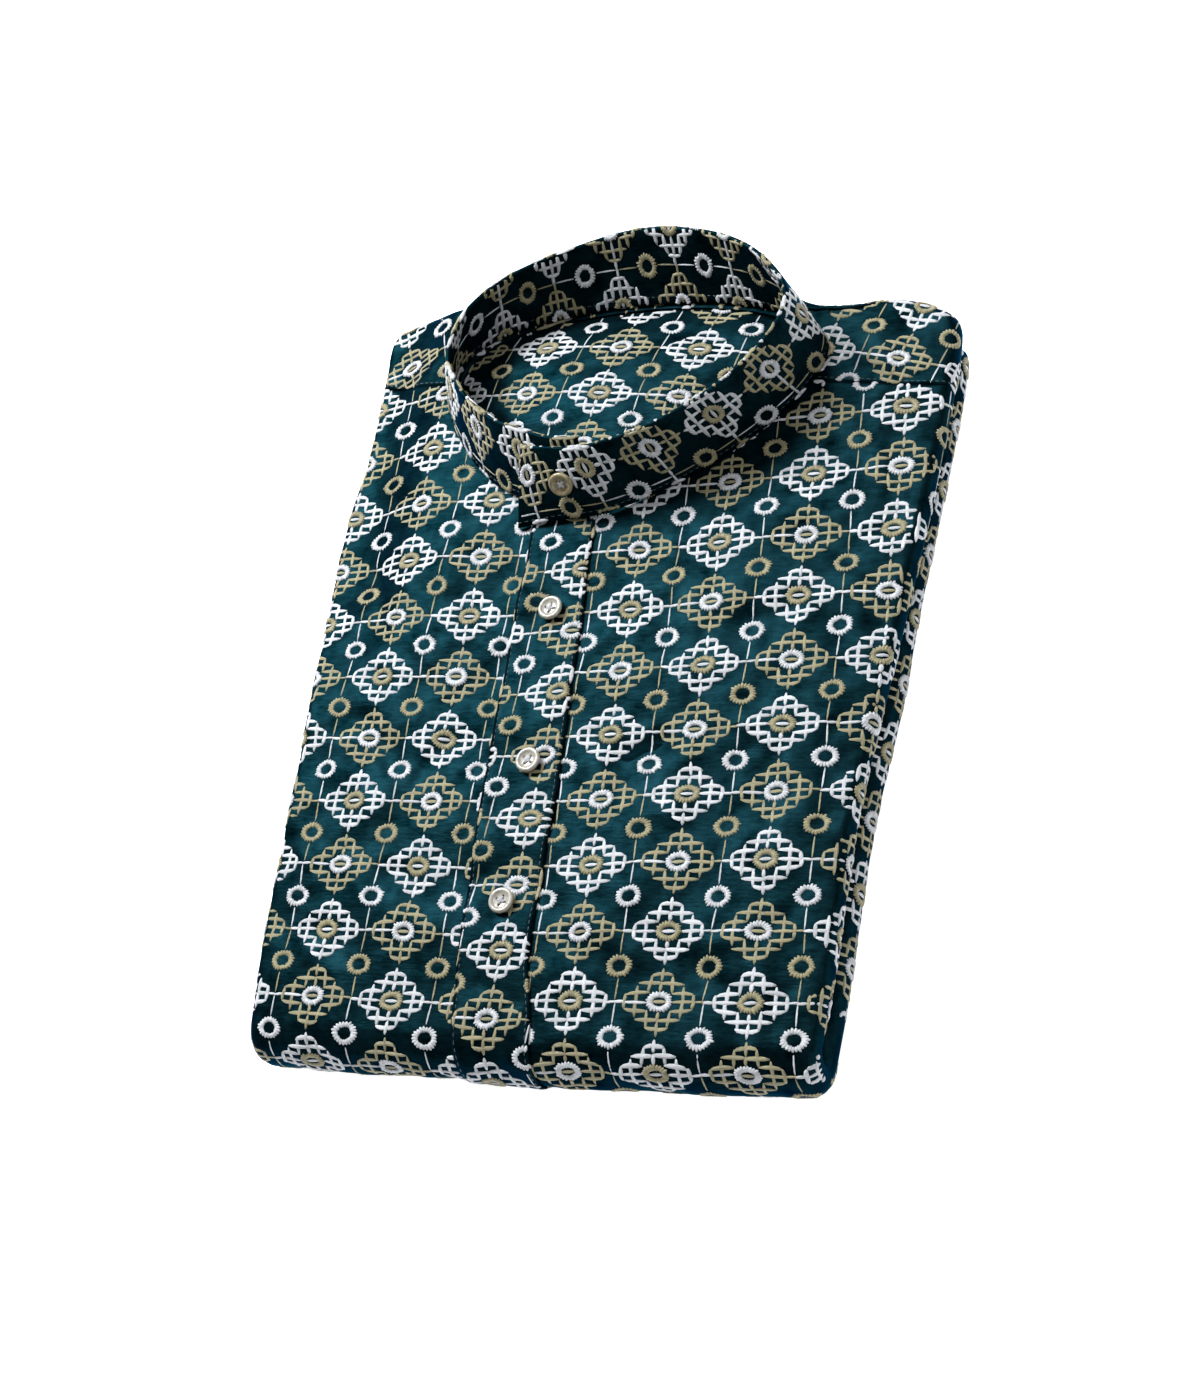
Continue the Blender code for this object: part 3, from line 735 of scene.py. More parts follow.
# ---- back of the neck: what shows of the kurta's back inside the collar ----
# Single embroidered cloth, sewn into the collar's seam all round and puffed up a little by the
# layers under it.
NECK_MIDDLE = np.array([-8.0, 122.0])
NECK_INSET = 1.5
NECK_RINGS = 34
NECK_AROUND = 132
NeckHeight = namedtuple("NeckHeight", "share z")
NECK_HEIGHTS = (  # from the middle out to the seam
    NeckHeight(0.0, 43.0),
    NeckHeight(0.35, 42.2),
    NeckHeight(0.68, 39.4),
    NeckHeight(0.9, 36.2),
    NeckHeight(1.0, 34.6),
)
NECK_CREASES = (
    Crease(-80, 104, -22, 96, 5, 5, -1.0),
    Crease(-62, 146, -6, 130, -5, 6, 0.9),
    Crease(0, 152, 52, 134, 5, 5, -1.2),
    Crease(-30, 88, 34, 96, 5, 5, 0.8),
    Crease(26, 118, 62, 124, 3, 4, -0.9),
    Crease(-50, 122, -86, 134, 4, 5, -1.0),
)
neck_shares = np.linspace(0.01, 1, NECK_RINGS)
neck_points = np.empty((NECK_RINGS, NECK_AROUND + 1, 3))
for station in range(NECK_AROUND + 1):
    edge = neck_edge(station * len(NECK) / NECK_AROUND)
    run = edge - NECK_MIDDLE
    edge = edge - run / np.hypot(*run) * NECK_INSET
    neck_points[:, station, :2] = NECK_MIDDLE + (edge - NECK_MIDDLE) * neck_shares[:, None]
neck_places = np.interp(neck_shares, [row.share for row in NECK_HEIGHTS], range(len(NECK_HEIGHTS)))
heights = np.array([through(NECK_HEIGHTS, place)[1] for place in neck_places])
fade = ease((1.02 - neck_shares) * 6)[:, None]
plan_x, plan_y = neck_points[..., 0], neck_points[..., 1]
neck_relief = crease_relief(plan_x, plan_y, NECK_CREASES)
neck_relief += 0.5 * mottle(plan_x, plan_y, 15, 11) + 0.2 * mottle(plan_x, plan_y, 7, 12)
neck_points[..., 2] = heights[:, None] + neck_relief * fade
neck_faces = grid_faces(NECK_RINGS, NECK_AROUND, True).tolist()
neck_faces.append(list(range(NECK_AROUND))[::-1])
back_neck = cloth_piece("back_neck_cloth", neck_points[:, :-1], neck_faces, teal)
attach(back_neck, "root")
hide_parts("back_neck")
cloths["back_neck"] = Cloth(neck_points, neck_points[..., :2])

# ---- collar band: a stand collar, two layers of the cloth with a stiffener between ----
# It is cut across the cloth, sewn into the neck seam along its lower edge, and buttoned into a ring
# with its left end on top.
BAND_THICKNESS = 2.2
BAND_SEAM = 1.2  # how far its lower edge reaches down into the neck seam
BAND_COLUMNS = 289
FACE_COLUMNS = 15
RIM_COLUMNS = 5
INNER_FACE = 100.0  # on the flat cloth, the inner face's heights are counted down from here
places = np.linspace(0, len(BAND) - 1, BAND_COLUMNS)
stations = np.array([through(BAND, place) for place in places])
lower, upper = stations[:, :3], stations[:, 3:]
middle = (lower + upper) / 2
run = np.gradient(middle, axis=0)
band_length = np.concatenate([[0], np.cumsum(np.linalg.norm(np.diff(middle, axis=0), axis=1))])
run /= np.linalg.norm(run, axis=1)[:, None]
rise = upper - lower
band_height = np.linalg.norm(rise, axis=1)
rise /= band_height[:, None]
outward = np.cross(rise, run)
outward /= np.linalg.norm(outward, axis=1)[:, None]
half = BAND_THICKNESS / 2
from_end = np.minimum(band_length, band_length[-1] - band_length)
end_round = np.sqrt(1 - (1 - np.clip(from_end / half, 0, 1)) ** 2)
wave = 0.7 * mottle(band_length, 0 * band_length, 34, 21)
wave += 0.35 * mottle(band_length, 0 * band_length, 15, 22)
# Its section goes up the outer face, over the rounded rim and down the inner face: the share of the
# height, and how far round the rim.
face_shares = np.linspace(0, 1, FACE_COLUMNS)
rim_turns = np.linspace(0, math.pi, RIM_COLUMNS + 2)[1:-1]
section = [(share, 0.0) for share in face_shares]
section += [(1.0, turn) for turn in rim_turns]
section += [(share, math.pi) for share in face_shares[::-1]]
band_points = np.empty((len(places), len(section), 3))
band_cut = np.empty((len(places), len(section), 2))
for column, (share, turn) in enumerate(section):
    height = (band_height - half + BAND_SEAM) * share - BAND_SEAM + half * math.sin(turn)
    belly = math.sin(math.pi * share)
    ripple = 0.22 * mottle(band_length, height, 9, 23) * math.sin(math.pi * min(share + 0.1, 1))
    shift = math.cos(turn) * half * end_round * (1 + 0.12 * belly) + wave * share * 0.8
    shift = shift + 0.35 * belly + ripple
    band_points[:, column] = lower + rise * height[:, None] + outward * shift[:, None]
    band_cut[:, column, 0] = band_length
    band_cut[:, column, 1] = INNER_FACE - height if turn == math.pi else height + half * turn
faces = grid_faces(len(places), len(section), True)
band = piece_of("collar_band_cloth", band_points, faces.tolist(), teal)
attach(band, "root")
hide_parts("collar_band")
rim_end = FACE_COLUMNS + RIM_COLUMNS
cloths["band_outside"] = Cloth(band_points[:, :rim_end], band_cut[:, :rim_end])
inside_cut = band_cut[:, FACE_COLUMNS:].copy()
for column, turn in enumerate(rim_turns):
    inside_cut[:, column, 1] = INNER_FACE - (band_height - half) - half * (math.pi - turn)
cloths["band_inside"] = Cloth(band_points[:, FACE_COLUMNS:], inside_cut)

# ---- folded layers: the back, the sleeves and the rest of the fronts, folded inside ----
# The same thin cloth, pressed flat. It is one solid, stepped into plies where its edges show, and it
# draws back between the lower and the upper page.
Layer = namedtuple("Layer", "z side end between_pages", defaults=(False,))
LAYERS = (
    Layer(1.7, 11.0, 5.0),
    Layer(3.0, 6.2, 1.6),
    Layer(5.2, 3.8, 0.8),
    Layer(6.6, 3.0, 3.4),
    Layer(8.2, 2.5, 0.4),
    Layer(10.8, 2.5, 0.2),
    Layer(12.2, 2.9, 3.2, True),
    Layer(13.6, 3.8, 0.8, True),
    Layer(15.8, 6.2, 1.6, True),
    Layer(17.2, 11.0, 5.0, True),
    Layer(17.4, 20.0, 20.0, True),
    Layer(23.4, 20.0, 20.0, True),
    Layer(23.6, 8.0, 8.0, True),
    Layer(25.0, 4.4, 4.4),
    Layer(28.0, 2.5, 2.5),
    Layer(31.0, 4.4, 4.4),
    Layer(32.3, 8.0, 8.0),
)
PAGE_GAP = (17.2, 17.4, 23.4, 23.6)  # levels of the steps between the pages
PLY = 2.15
PLY_ROUND = 0.9
LAYER_CLEARANCE = 0.3
CORNER_DEPTH = 20.0  # beside the foot roll they draw in this far, over a stretch as long
FAR_END = 7.0  # how much shorter the lower layers are at the far end
FAR_SIDES = (-143.0, 142.0)  # the far end's corners stay between these
SHOULDERS = (8.6, 20.4)  # the far end follows the outline between these bends
LAST_SIDE_BENDS = ((1, 7), (-1, 22))
levels = np.concatenate([np.linspace(LAYERS[0].z, LAYERS[-1].z, 58), PAGE_GAP])
layer_points = []
for z in np.unique(levels):
    side_inset, end_inset, between = (
        read_off(LAYERS, "z", z, key) for key in ("side", "end", "between_pages")
    )
    short = FAR_END if z < ROLL_RADIUS + 2 else 0.0
    # Each ply is a rounded step of its own.
    ply = z / PLY
    step = PLY_ROUND * (1 - math.sqrt(max(1 - (2 * (ply % 1) - 1) ** 2, 0)))
    sides = []
    for side, last_bend in LAST_SIDE_BENDS:
        end = OUTLINE[0] if side > 0 else OUTLINE[-1]
        start = float(foot_at(end.x)) + ROLL_RADIUS
        ys = np.linspace(start, OUTLINE[last_bend].y - short, 60)
        beside = np.clip(1 - (ys - start) / CORNER_DEPTH, 0, 1)
        inset = side_inset + 4 * beside
        if between > 0.5:
            inset = side_inset + (CORNER_DEPTH - side_inset) * np.clip(2 * beside, 0, 1)
        inset = inset + step + LAYER_CLEARANCE
        xs = np.array([side_fold_x(y, side) for y in ys]) - side * inset
        sides.append(np.column_stack([xs, ys]))
    left_side, right_side = sides
    far = []
    for place in np.linspace(*SHOULDERS, 110):
        wobble = 0.9 * mottle(place * 14, int(ply) * 7.3, 11, 31) + 0.9
        x, y = through(OUTLINE, place) - square_to(OUTLINE, place) * (end_inset + step + wobble)
        x = min(max(x, FAR_SIDES[0] + side_inset), FAR_SIDES[1] - side_inset)
        far.append((x, y - short))
    reach = math.sqrt(max((ROLL_RADIUS - 2.2) ** 2 - (z - ROLL_RADIUS) ** 2, 1))
    foot_x = np.linspace(right_side[0][0] + 3, left_side[0][0] - 3, 60)
    foot = np.column_stack([foot_x, foot_at(foot_x) + ROLL_RADIUS - reach])
    plan = np.concatenate([left_side, np.array(far), right_side[::-1], foot])
    layer_points.append(np.column_stack([plan, np.full(len(plan), z)]))
layer_points = shoulder_slump(np.array(layer_points))
faces = grid_faces(*layer_points.shape[:2], True).tolist()
around = layer_points.shape[1]
faces.append(list(range(around))[::-1])
faces.append(list(range(around * (len(layer_points) - 1), around * len(layer_points))))
# A darker copy of the same teal cloth: painted shade on the folded layers between and under the pages.
painted_shade_inner_teal = painted_sheen_slub_cloth("teal_inner_cloth_painted_shade", (0.0003, 0.0018, 0.0026), (0.0022, 0.0115, 0.0165))
layers = piece_of("folded_layers_cloth", layer_points, faces, painted_shade_inner_teal)
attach(layers, "root")
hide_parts("folded_layers")

# ---- embroidery: a lattice of diamonds in white or khaki, with small rings between ----
# Machine embroidery in thick, slightly shiny thread. Every bar of the lattice, every spoke of a
# ring and every joining line is a raised stitch of its own, laid on the cloth that carries it.
CELL = 5.1  # a diamond is six of these wide
ROW = 3.85  # and six of these high
DIAMOND_PITCH = 39.2  # along the lattice's first direction, before it is laid on a panel
ROW_PITCH = 29.7
BAR_WIDTH = 1.55
LEVEL_BAR_WIDTH = 1.75
SPOKE_WIDTH = 1.35
BAR_HEIGHT = 0.5
JOINING_WIDTH = 0.8
JOINING_HEIGHT = 0.3
WHITE_FULLNESS = 1.12
WAVER = 0.6  # hooping and wear leave the rows this wavy

# The motif, charted in cells and rows. A stitch that isn't the diamond's own is white in every
# diamond, and the bend is how far its end curls.
Stitch = namedtuple("Stitch", "x y end_x end_y wide own bend", defaults=(BAR_WIDTH, True, 0.0))
LEVEL_BARS = (  # row, near end, far end, how far the far end curls towards the middle
    (3, -0.3, 1.02, 0.3),
    (2, -0.22, 2.0, 0.05),
    (1, 0.92, 3.0, 0.3),
    (-1, 0.92, 3.0, 0.28),
    (-2, -0.22, 1.98, 0.05),
    (-3, -0.3, 1.02, 0.3),
)
UPRIGHT_BARS = (  # column, near end, far end, how far it leans towards the middle
    (1.03, 0.88, 2.9, 0.14),
    (2.05, -0.3, 1.76, 0.06),
    (3.02, -0.25, 0.82, 0.1),
)
MIDDLE_BARS = ((1.05, 2.02), (2.15, 3.72))  # near end, far end
MOTIF = []
for row, near, far, curl in LEVEL_BARS:
    y = row * ROW
    bend = -math.copysign(curl, row) * ROW
    for side in (CELL, -CELL):
        MOTIF.append(Stitch(side * near, y, side * far, y, LEVEL_BAR_WIDTH, True, bend))
for column, near, far, lean in UPRIGHT_BARS:
    for side in (CELL, -CELL):
        for up in (ROW, -ROW):
            MOTIF.append(Stitch(side * column, up * near, side * (column - lean), up * far))
for near, far in MIDDLE_BARS:
    MOTIF += [Stitch(0, up * near, 0, up * far) for up in (ROW, -ROW)]
# Stitches that lead out of the middle ring, and the lines that join a diamond to the next.
MOTIF += [
    Stitch(1.0 * CELL, 0, 3.2 * CELL, 0),
    Stitch(2.9 * CELL, 0, DIAMOND_PITCH / 2 + 0.7, 0, 1.0),
    Stitch(-1.0 * CELL, 0, -3.1 * CELL, 0, 1.35, False),
    Stitch(-2.9 * CELL, 0, -DIAMOND_PITCH / 2 - 0.7, 0, 1.3, False),
]
Ring = namedtuple("Ring", "hole_x hole_y across up spokes height")
MIDDLE_RING = Ring(2.9, 1.75, 5.8, 4.55, 23, 0.75)
SMALL_RING = Ring(3.0, 2.4, 6.0, 4.85, 22, 0.6)
RING_BAR = (-3.2, 0, 3.2, 0)  # one stitch across the middle ring's hole

# Where the lattice lies on each piece: a diamond's middle, the steps to the next one across and
# up, and whether that diamond is white. Rings between rows take turns as well.
Lattice = namedtuple("Lattice", "x y across_x across_y up_x up_y white ring_white columns rows")
LATTICES = {
    "front_left": Lattice(8.65, 43.24, 39.18, 1.06, -0.65, 29.62, 0, 1, (-1, 5), (-10, 5)),
    "front_right": Lattice(-108.72, 74.98, 38.79, -1.08, 0.08, 30.04, 0, 0, (-2, 4), (-11, 4)),
    "placket": Lattice(-15.4, 33.8, 39.2, 0.9, 1.05, 29.6, 1, 1, (-1, 1), (-10, 2)),
    "yoke_left": Lattice(118.9, 129.8, 36.0, -9.5, 8.8, 26.0, 0, 0, (-5, 2), (-2, 4)),
    "yoke_right": Lattice(-132.4, 157.0, 37.0, 9.0, -8.5, 26.5, 0, 1, (-2, 5), (-4, 3)),
    "back_neck": Lattice(-20.3, 121.0, 40.0, -5.2, 5.7, 25.0, 1, 0, (-3, 4), (-3, 4)),
    "front_left_lower": Lattice(146.0, 138.4, 39.2, 0, 2.1, 30.8, 1, 1, (-2, 2), (-12, 2)),
    "front_right_lower": Lattice(-149.0, 132.0, 39.2, 0, 0, 30.0, 1, 0, (-2, 2), (-12, 2)),
}


def panel_place(lattice):
    def place(column, row):
        return (
            lattice.x + column * lattice.across_x + row * lattice.up_x,
            lattice.y + column * lattice.across_y + row * lattice.up_y,
        )

    return place


# On the collar band the cloth is cut across, so the lattice's rows run along the band. Its rows on
# each face, and where along the band they lie.
OUTSIDE_ROWS = (-18, -16, -14, -13, -3, -2, -1, 0, 1, 2, 3)
OUTSIDE_LENGTHS = (-82, -24.4, 33.6, 62.6, 353.5, 384.5, 416.3, 447.5, 478.7, 509, 539)
INSIDE_ROWS = (-8, -2, -1, 0, 1, 2, 3, 10)
INSIDE_LENGTHS = (-31, 149, 178, 209.5, 239.5, 269, 299, 509)


def band_outside_place(column, row):
    return np.interp(row, OUTSIDE_ROWS, OUTSIDE_LENGTHS) + 7.2 * column, 22.5 + 37 * column


def band_inside_place(column, row):
    return np.interp(row, INSIDE_ROWS, INSIDE_LENGTHS) + 1.0 * column, INNER_FACE + 2.0 - 39.2 * column


# A row of stitch data: start and end on the flat cloth, width, height, whether it is white, and how
# far its end is bent aside.
START = slice(0, 2)
END = slice(2, 4)
WIDTH = 4
HEIGHT = 5
WHITE = 6
BENT = slice(7, 9)
draw = np.random.default_rng(2024)


def stitches_of(place, white, ring_white, columns, rows):
    """Every stitch of a lattice on the flat cloth, as rows of stitch data."""
    found = []

    def add(column, row, line, wide, tall, is_white, bend=0.0):
        x, y, end_x, end_y = line
        start = place(column + x / DIAMOND_PITCH, row + y / ROW_PITCH)
        end = place(column + end_x / DIAMOND_PITCH, row + end_y / ROW_PITCH)
        past = place(column + end_x / DIAMOND_PITCH, row + (end_y + bend) / ROW_PITCH)
        found.append((*start, *end, wide, tall, is_white, past[0] - end[0], past[1] - end[1]))

    def ring(column, row, shape, is_white):
        turn = draw.uniform(0, 1)
        for spoke in range(shape.spokes):
            angle = (spoke + turn) * math.tau / shape.spokes
            near, far = draw.normal(1, 0.04, 2)
            x, y = math.cos(angle), math.sin(angle)
            hole = (x * shape.hole_x * near, y * shape.hole_y * near)
            line = (*hole, x * shape.across * far, y * shape.up * far)
            add(column, row, line, SPOKE_WIDTH, shape.height, is_white)

    for column in range(columns[0], columns[1] + 1):
        for row in range(rows[0], rows[1] + 1):
            is_white = (column + row + white) % 2 == 1
            fullness = WHITE_FULLNESS if is_white else 1.0
            for stitch in MOTIF:
                line = stitch[:4] + draw.normal(0, 0.19, 4)
                wide = stitch.wide * draw.normal(1.0, 0.05) * fullness
                tall = BAR_HEIGHT * draw.uniform(0.85, 1.1)
                add(column, row, line, wide, tall, is_white or not stitch.own, stitch.bend)
            ring(column, row, MIDDLE_RING, not is_white)
            add(column, row, RING_BAR, 1.5, 0.42, is_white)
            ring_is_white = (row + ring_white) % 2 == 1
            ring(column + 0.5, row + 0.5, SMALL_RING, ring_is_white)
            for up in (1, -1):
                x, end_x = draw.normal(0, 0.2), draw.normal(0, 0.2)
                line = (x, up * 4.5, end_x, up * (ROW_PITCH / 2 + 0.1))
                add(column + 0.5, row + 0.5, line, JOINING_WIDTH, JOINING_HEIGHT, ring_is_white)
    found = np.array(found, float)
    for end in (START, END):
        x, y = found[:, end].T.copy()
        found[:, end] += WAVER * np.column_stack([mottle(x, y, 37, 41), mottle(y, x, 41, 42)])
    return found


CLIP_REACH = 24.0
CLIP_SHARES = np.linspace(0, 1, 21)
SHORTEST_STITCH = 1.3


def along_stitches(stitches, shares):
    """Places at these shares of the way along each stitch, on the flat cloth."""
    starts, ends = stitches[:, None, START], stitches[:, None, END]
    return starts + (ends - starts) * shares[:, None]


def clip_to(cloth, stitches):
    """The stretch of each stitch that is on the cloth. The rest is under a seam or cut away."""
    middle = (stitches[:, START] + stitches[:, END]) / 2
    near = (middle > cloth.low - CLIP_REACH) & (middle < cloth.high + CLIP_REACH)
    stitches = stitches[near.all(1)]
    _, _, rough = cloth.find(along_stitches(stitches, np.array([0.0, 0.5, 1.0])))
    whole = rough.all(1)
    kept = [stitches[whole]]
    cut = stitches[~whole & rough.any(1)]
    if len(cut):
        _, _, inside = cloth.find(along_stitches(cut, CLIP_SHARES))
        for stitch, on_it in zip(cut, inside):
            edges = np.flatnonzero(np.diff(np.concatenate([[0], on_it.astype(int), [0]])))
            first, past = max(zip(edges[::2], edges[1::2]), key=lambda stretch: stretch[1] - stretch[0])
            run = stitch[END] - stitch[START]
            if (past - 1 - first) / (len(CLIP_SHARES) - 1) * np.hypot(*run) < SHORTEST_STITCH:
                continue
            shorter = stitch.copy()
            shorter[START] = stitch[START] + run * CLIP_SHARES[first]
            shorter[END] = stitch[START] + run * CLIP_SHARES[past - 1]
            kept.append(shorter[None])
    return np.concatenate(kept)


def thread(name, shade, strands):
    """Shiny embroidery thread, its strands lying along each stitch, with painted shade in the grooves
    between them.
    """
    material, tree, shader = new_material(
        name, {"Roughness": 0.46, "Specular IOR Level": 0.45, "Sheen Weight": 0.15}
    )
    tone = add_node(tree, "ShaderNodeAttribute", attribute_name="tone").outputs["Fac"]
    colour = ramp_between(tree, tone, [value * 0.72 for value in shade], shade)
    lie = add_node(tree, "ShaderNodeUVMap", uv_map="strands").outputs["UV"]
    apart = add_node(tree, "ShaderNodeSeparateXYZ", lie).outputs
    count = add_node(tree, "ShaderNodeMath", apart["Y"], strands, operation="MULTIPLY")
    twist = add_node(
        tree, "ShaderNodeMath", apart["X"], 2.2, count.outputs["Value"], operation="MULTIPLY_ADD"
    )
    wave = add_node(tree, "ShaderNodeMath", twist.outputs["Value"], operation="SINE").outputs["Value"]
    # The colour darkens to 0.74 between the strands: painted shade in the grooves of the twist.
    painted_groove_shade = add_node(tree, "ShaderNodeMapRange", wave)
    painted_groove_shade.inputs["From Min"].default_value = -1.0
    painted_groove_shade.inputs["To Min"].default_value = 0.74
    groove_shade_factor = painted_groove_shade.outputs["Result"]
    groove_shaded_colour = add_node(tree, "ShaderNodeVectorMath", colour, operation="SCALE", Scale=groove_shade_factor)
    tree.links.new(groove_shaded_colour.outputs["Vector"], shader.inputs["Base Color"])
    roughen(tree, shader, wave, 0.5, 0.0002)
    return material


# A stitch is a closed bar of these cross-sections, rounded over its top and sunk into the cloth.
SECTIONS = np.array([0.0, 0.22, 0.52, 0.8, 1.0])
SECTION_WIDTHS = np.array([0.4, 0.92, 1.16, 0.92, 0.4])
SECTION_HEIGHTS = np.array([0.25, 0.85, 1.0, 0.85, 0.25])
ACROSS = np.array([-1.0, -0.7, 0.0, 0.7, 1.0])
ROUND = np.array([0.0, 0.82, 1.0, 0.82, 0.0])
STITCH_SUNK = 0.12


def sew(name, cloth, stitches, material):
    """One mesh of raised stitches on a cloth."""
    curl = np.clip((SECTIONS - 0.5) / 0.5, 0, 1)[:, None] ** 2
    places = along_stitches(stitches, SECTIONS) + stitches[:, None, BENT] * curl
    points, normals, _ = cloth.find(places)
    aside = unit(np.cross(normals, unit(np.gradient(points, axis=1))))
    wide = stitches[:, WIDTH, None, None] / 2 * SECTION_WIDTHS[:, None] * ACROSS
    tall = stitches[:, HEIGHT, None, None] * SECTION_HEIGHTS[:, None] * ROUND - STITCH_SUNK
    shape = points[:, :, None] + aside[:, :, None] * wide[..., None]
    shape = shape + normals[:, :, None] * tall[..., None]
    count, sections, ring = shape.shape[:3]
    first_points = np.arange(count)[:, None] * sections * ring
    bars = (grid_faces(sections, ring, True) + first_points[..., None]).reshape(-1, 4)
    ends = np.arange(ring) + first_points
    faces = bars[:, ::-1].tolist() + ends.tolist() + (ends[:, ::-1] + (sections - 1) * ring).tolist()
    piece = piece_of(name, shape, faces, material)
    mesh = piece.data
    length = np.linalg.norm(np.diff(points, axis=1), axis=2).sum(1)
    lie = np.empty((count, sections, ring, 2))
    lie[..., 0] = length[:, None, None] * SECTIONS[:, None]
    lie[..., 1] = wide
    corner = np.empty(len(mesh.loops), np.int32)
    mesh.loops.foreach_get("vertex_index", corner)
    strands = mesh.uv_layers.new(name="strands")
    strands.data.foreach_set("uv", lie.reshape(-1, 2)[corner].ravel())
    tone = mesh.attributes.new("tone", "FLOAT", "POINT")
    tones = np.repeat(draw.uniform(0, 1, count), sections * ring)
    tone.data.foreach_set("value", tones.astype(np.float32))
    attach(piece, "root")
    return piece


white_thread = thread("white_thread", (0.64, 0.67, 0.71), 16.0)
khaki_thread = thread("khaki_thread", (0.32, 0.29, 0.162), 16.0)
motifs = {}
patterns = {name: (panel_place(row), *row[6:]) for name, row in LATTICES.items()}
patterns["band_outside"] = (band_outside_place, 1, 0, (-1, 1), (-16, 2))
patterns["band_inside"] = (band_inside_place, 1, 0, (-1, 1), (-8, 9))
for name, pattern in patterns.items():
    stitches = clip_to(cloths[name], stitches_of(*pattern))
    motifs[name] = []
    for colour, chosen, material in (
        ("white", stitches[:, WHITE] > 0.5, white_thread),
        ("khaki", stitches[:, WHITE] < 0.5, khaki_thread),
    ):
        piece = sew(f"{colour}_stitches_{name}", cloths[name], stitches[chosen], material)
        motifs[name].append(piece)

# ---- topstitching: a fine teal sewing thread ----
# Short even machine stitches that hold down the placket's edges, the yoke's seams and the collar's
# lower edge on both faces.
TOPSTITCH_PITCH = 2.9
TOPSTITCH_LENGTH = 2.2
TOPSTITCH_WIDTH = 0.5
TOPSTITCH_HEIGHT = 0.24
PLACKET_TOPSTITCH_IN = 1.7
YOKE_TOPSTITCH_UP = 1.6
teal_thread = thread("teal_thread", (0.004, 0.030, 0.042), 10.0)


def stitch_line(path):
    """Stitch data for a line on the flat cloth."""
    run = np.concatenate([[0], np.cumsum(np.hypot(*np.diff(path, axis=0).T))])
    starts = np.arange(0.5, run[-1] - TOPSTITCH_LENGTH, TOPSTITCH_PITCH)
    ends = starts + TOPSTITCH_LENGTH
    line = [np.interp(at, run, path[:, axis]) for at in (starts, ends) for axis in (0, 1)]
    shape = (TOPSTITCH_WIDTH, TOPSTITCH_HEIGHT, 0.0, 0.0, 0.0)
    return np.stack(line + [np.full(len(starts), value) for value in shape], -1)


def topstitch(name, *paths):
    """One mesh of topstitching along lines on a piece of cloth."""
    rows = clip_to(cloths[name], np.concatenate([stitch_line(path) for path in paths]))
    piece = sew("topstitching_" + name, cloths[name], rows, teal_thread)
    return piece


placket_y = np.linspace(-222, 60, 60)  # on the flat cloth, so it runs on round the foot roll
placket_paths = [
    np.column_stack([read_off(PLACKET, "y", placket_y, key) + inset, placket_y])
    for key, inset in (("left", PLACKET_TOPSTITCH_IN), ("right", -PLACKET_TOPSTITCH_IN))
]
placket_stitches = [topstitch("placket", *placket_paths)]
# Each yoke line runs from the neck to just round the outer fold.
yoke_stitches = [
    topstitch(name, seam[1:32, ON_CUT] + np.array([0, YOKE_TOPSTITCH_UP]))
    for name, seam in (("yoke_left", yoke_rows[0]), ("yoke_right", yoke_rows[-1]))
]
band_stitches = [
    topstitch(name, np.column_stack([band_length, np.full_like(band_length, height)]))
    for name, height in (("band_outside", 1.2), ("band_inside", INNER_FACE - 2.4))
]

# ---- buttons: turned four-hole shirt buttons, horn-coloured on the collar, cream down the front ----
# Cast resin turned to a raised rim and a dished middle, sewn on with white thread crossed over.
BUTTON_RADIUS = 5.7
BUTTON_THICKNESS = 2.6
HOLE_SPREAD = 1.35
HOLE_RADIUS = 0.72
STRAND_RADIUS = 0.27
STRANDS_APART = 0.22
SHANK_RADIUS = 1.3
COLLAR_BUTTON_PLACE = len(BAND) - 2.35  # in the band's stations
COLLAR_BUTTON_RISE = 0.8
BUTTON_PROFILE = (  # share of the radius, share of the thickness
    (0.0, 0.6),
    (0.4, 0.61),
    (0.56, 0.66),
    (0.64, 0.78),
    (0.7, 0.92),
    (0.77, 1.0),
    (0.86, 1.0),
    (0.94, 0.9),
    (0.99, 0.72),
    (1.0, 0.56),
    (0.97, 0.32),
    (0.88, 0.14),
    (0.7, 0.03),
    (0.5, 0.0),
    (0.0, 0.0),
)


def resin(name, base, cloudy, veins):
    """Cloudy cast resin with a soft polish."""
    material, tree, shader = new_material(
        name, {"Roughness": 0.28, "Coat Weight": 0.35, "Coat Roughness": 0.15}
    )
    place = add_node(tree, "ShaderNodeTexCoord").outputs["Object"]
    clouds = noise(tree, place, veins, 4.0, 0.55, 1.6)
    tree.links.new(ramp_between(tree, clouds, base, cloudy, 0.3, 0.7), shader.inputs["Base Color"])
    roughen(tree, shader, noise(tree, place, 2400.0, 2.0), 0.12, 0.0001)
    return material


def lathe(profile, steps):
    """A turned solid about Z from (radius, height) points that start and end on the axis."""
    angles = np.linspace(0, math.tau, steps, endpoint=False)
    points = [(0, 0, profile[0][1])]
    for radius, height in profile[1:-1]:
        points += [(radius * math.cos(a), radius * math.sin(a), height) for a in angles]
    points.append((0, 0, profile[-1][1]))
    rings = len(profile) - 2
    faces = [(0, 1 + i, 1 + (i + 1) % steps) for i in range(steps)]
    for ring in range(rings - 1):
        low = 1 + ring * steps
        for i in range(steps):
            after = (i + 1) % steps
            faces.append((low + i, low + steps + i, low + steps + after, low + after))
    low = 1 + (rings - 1) * steps
    faces += [(low + (i + 1) % steps, low + i, len(points) - 1) for i in range(steps)]
    return np.array(points, float), faces


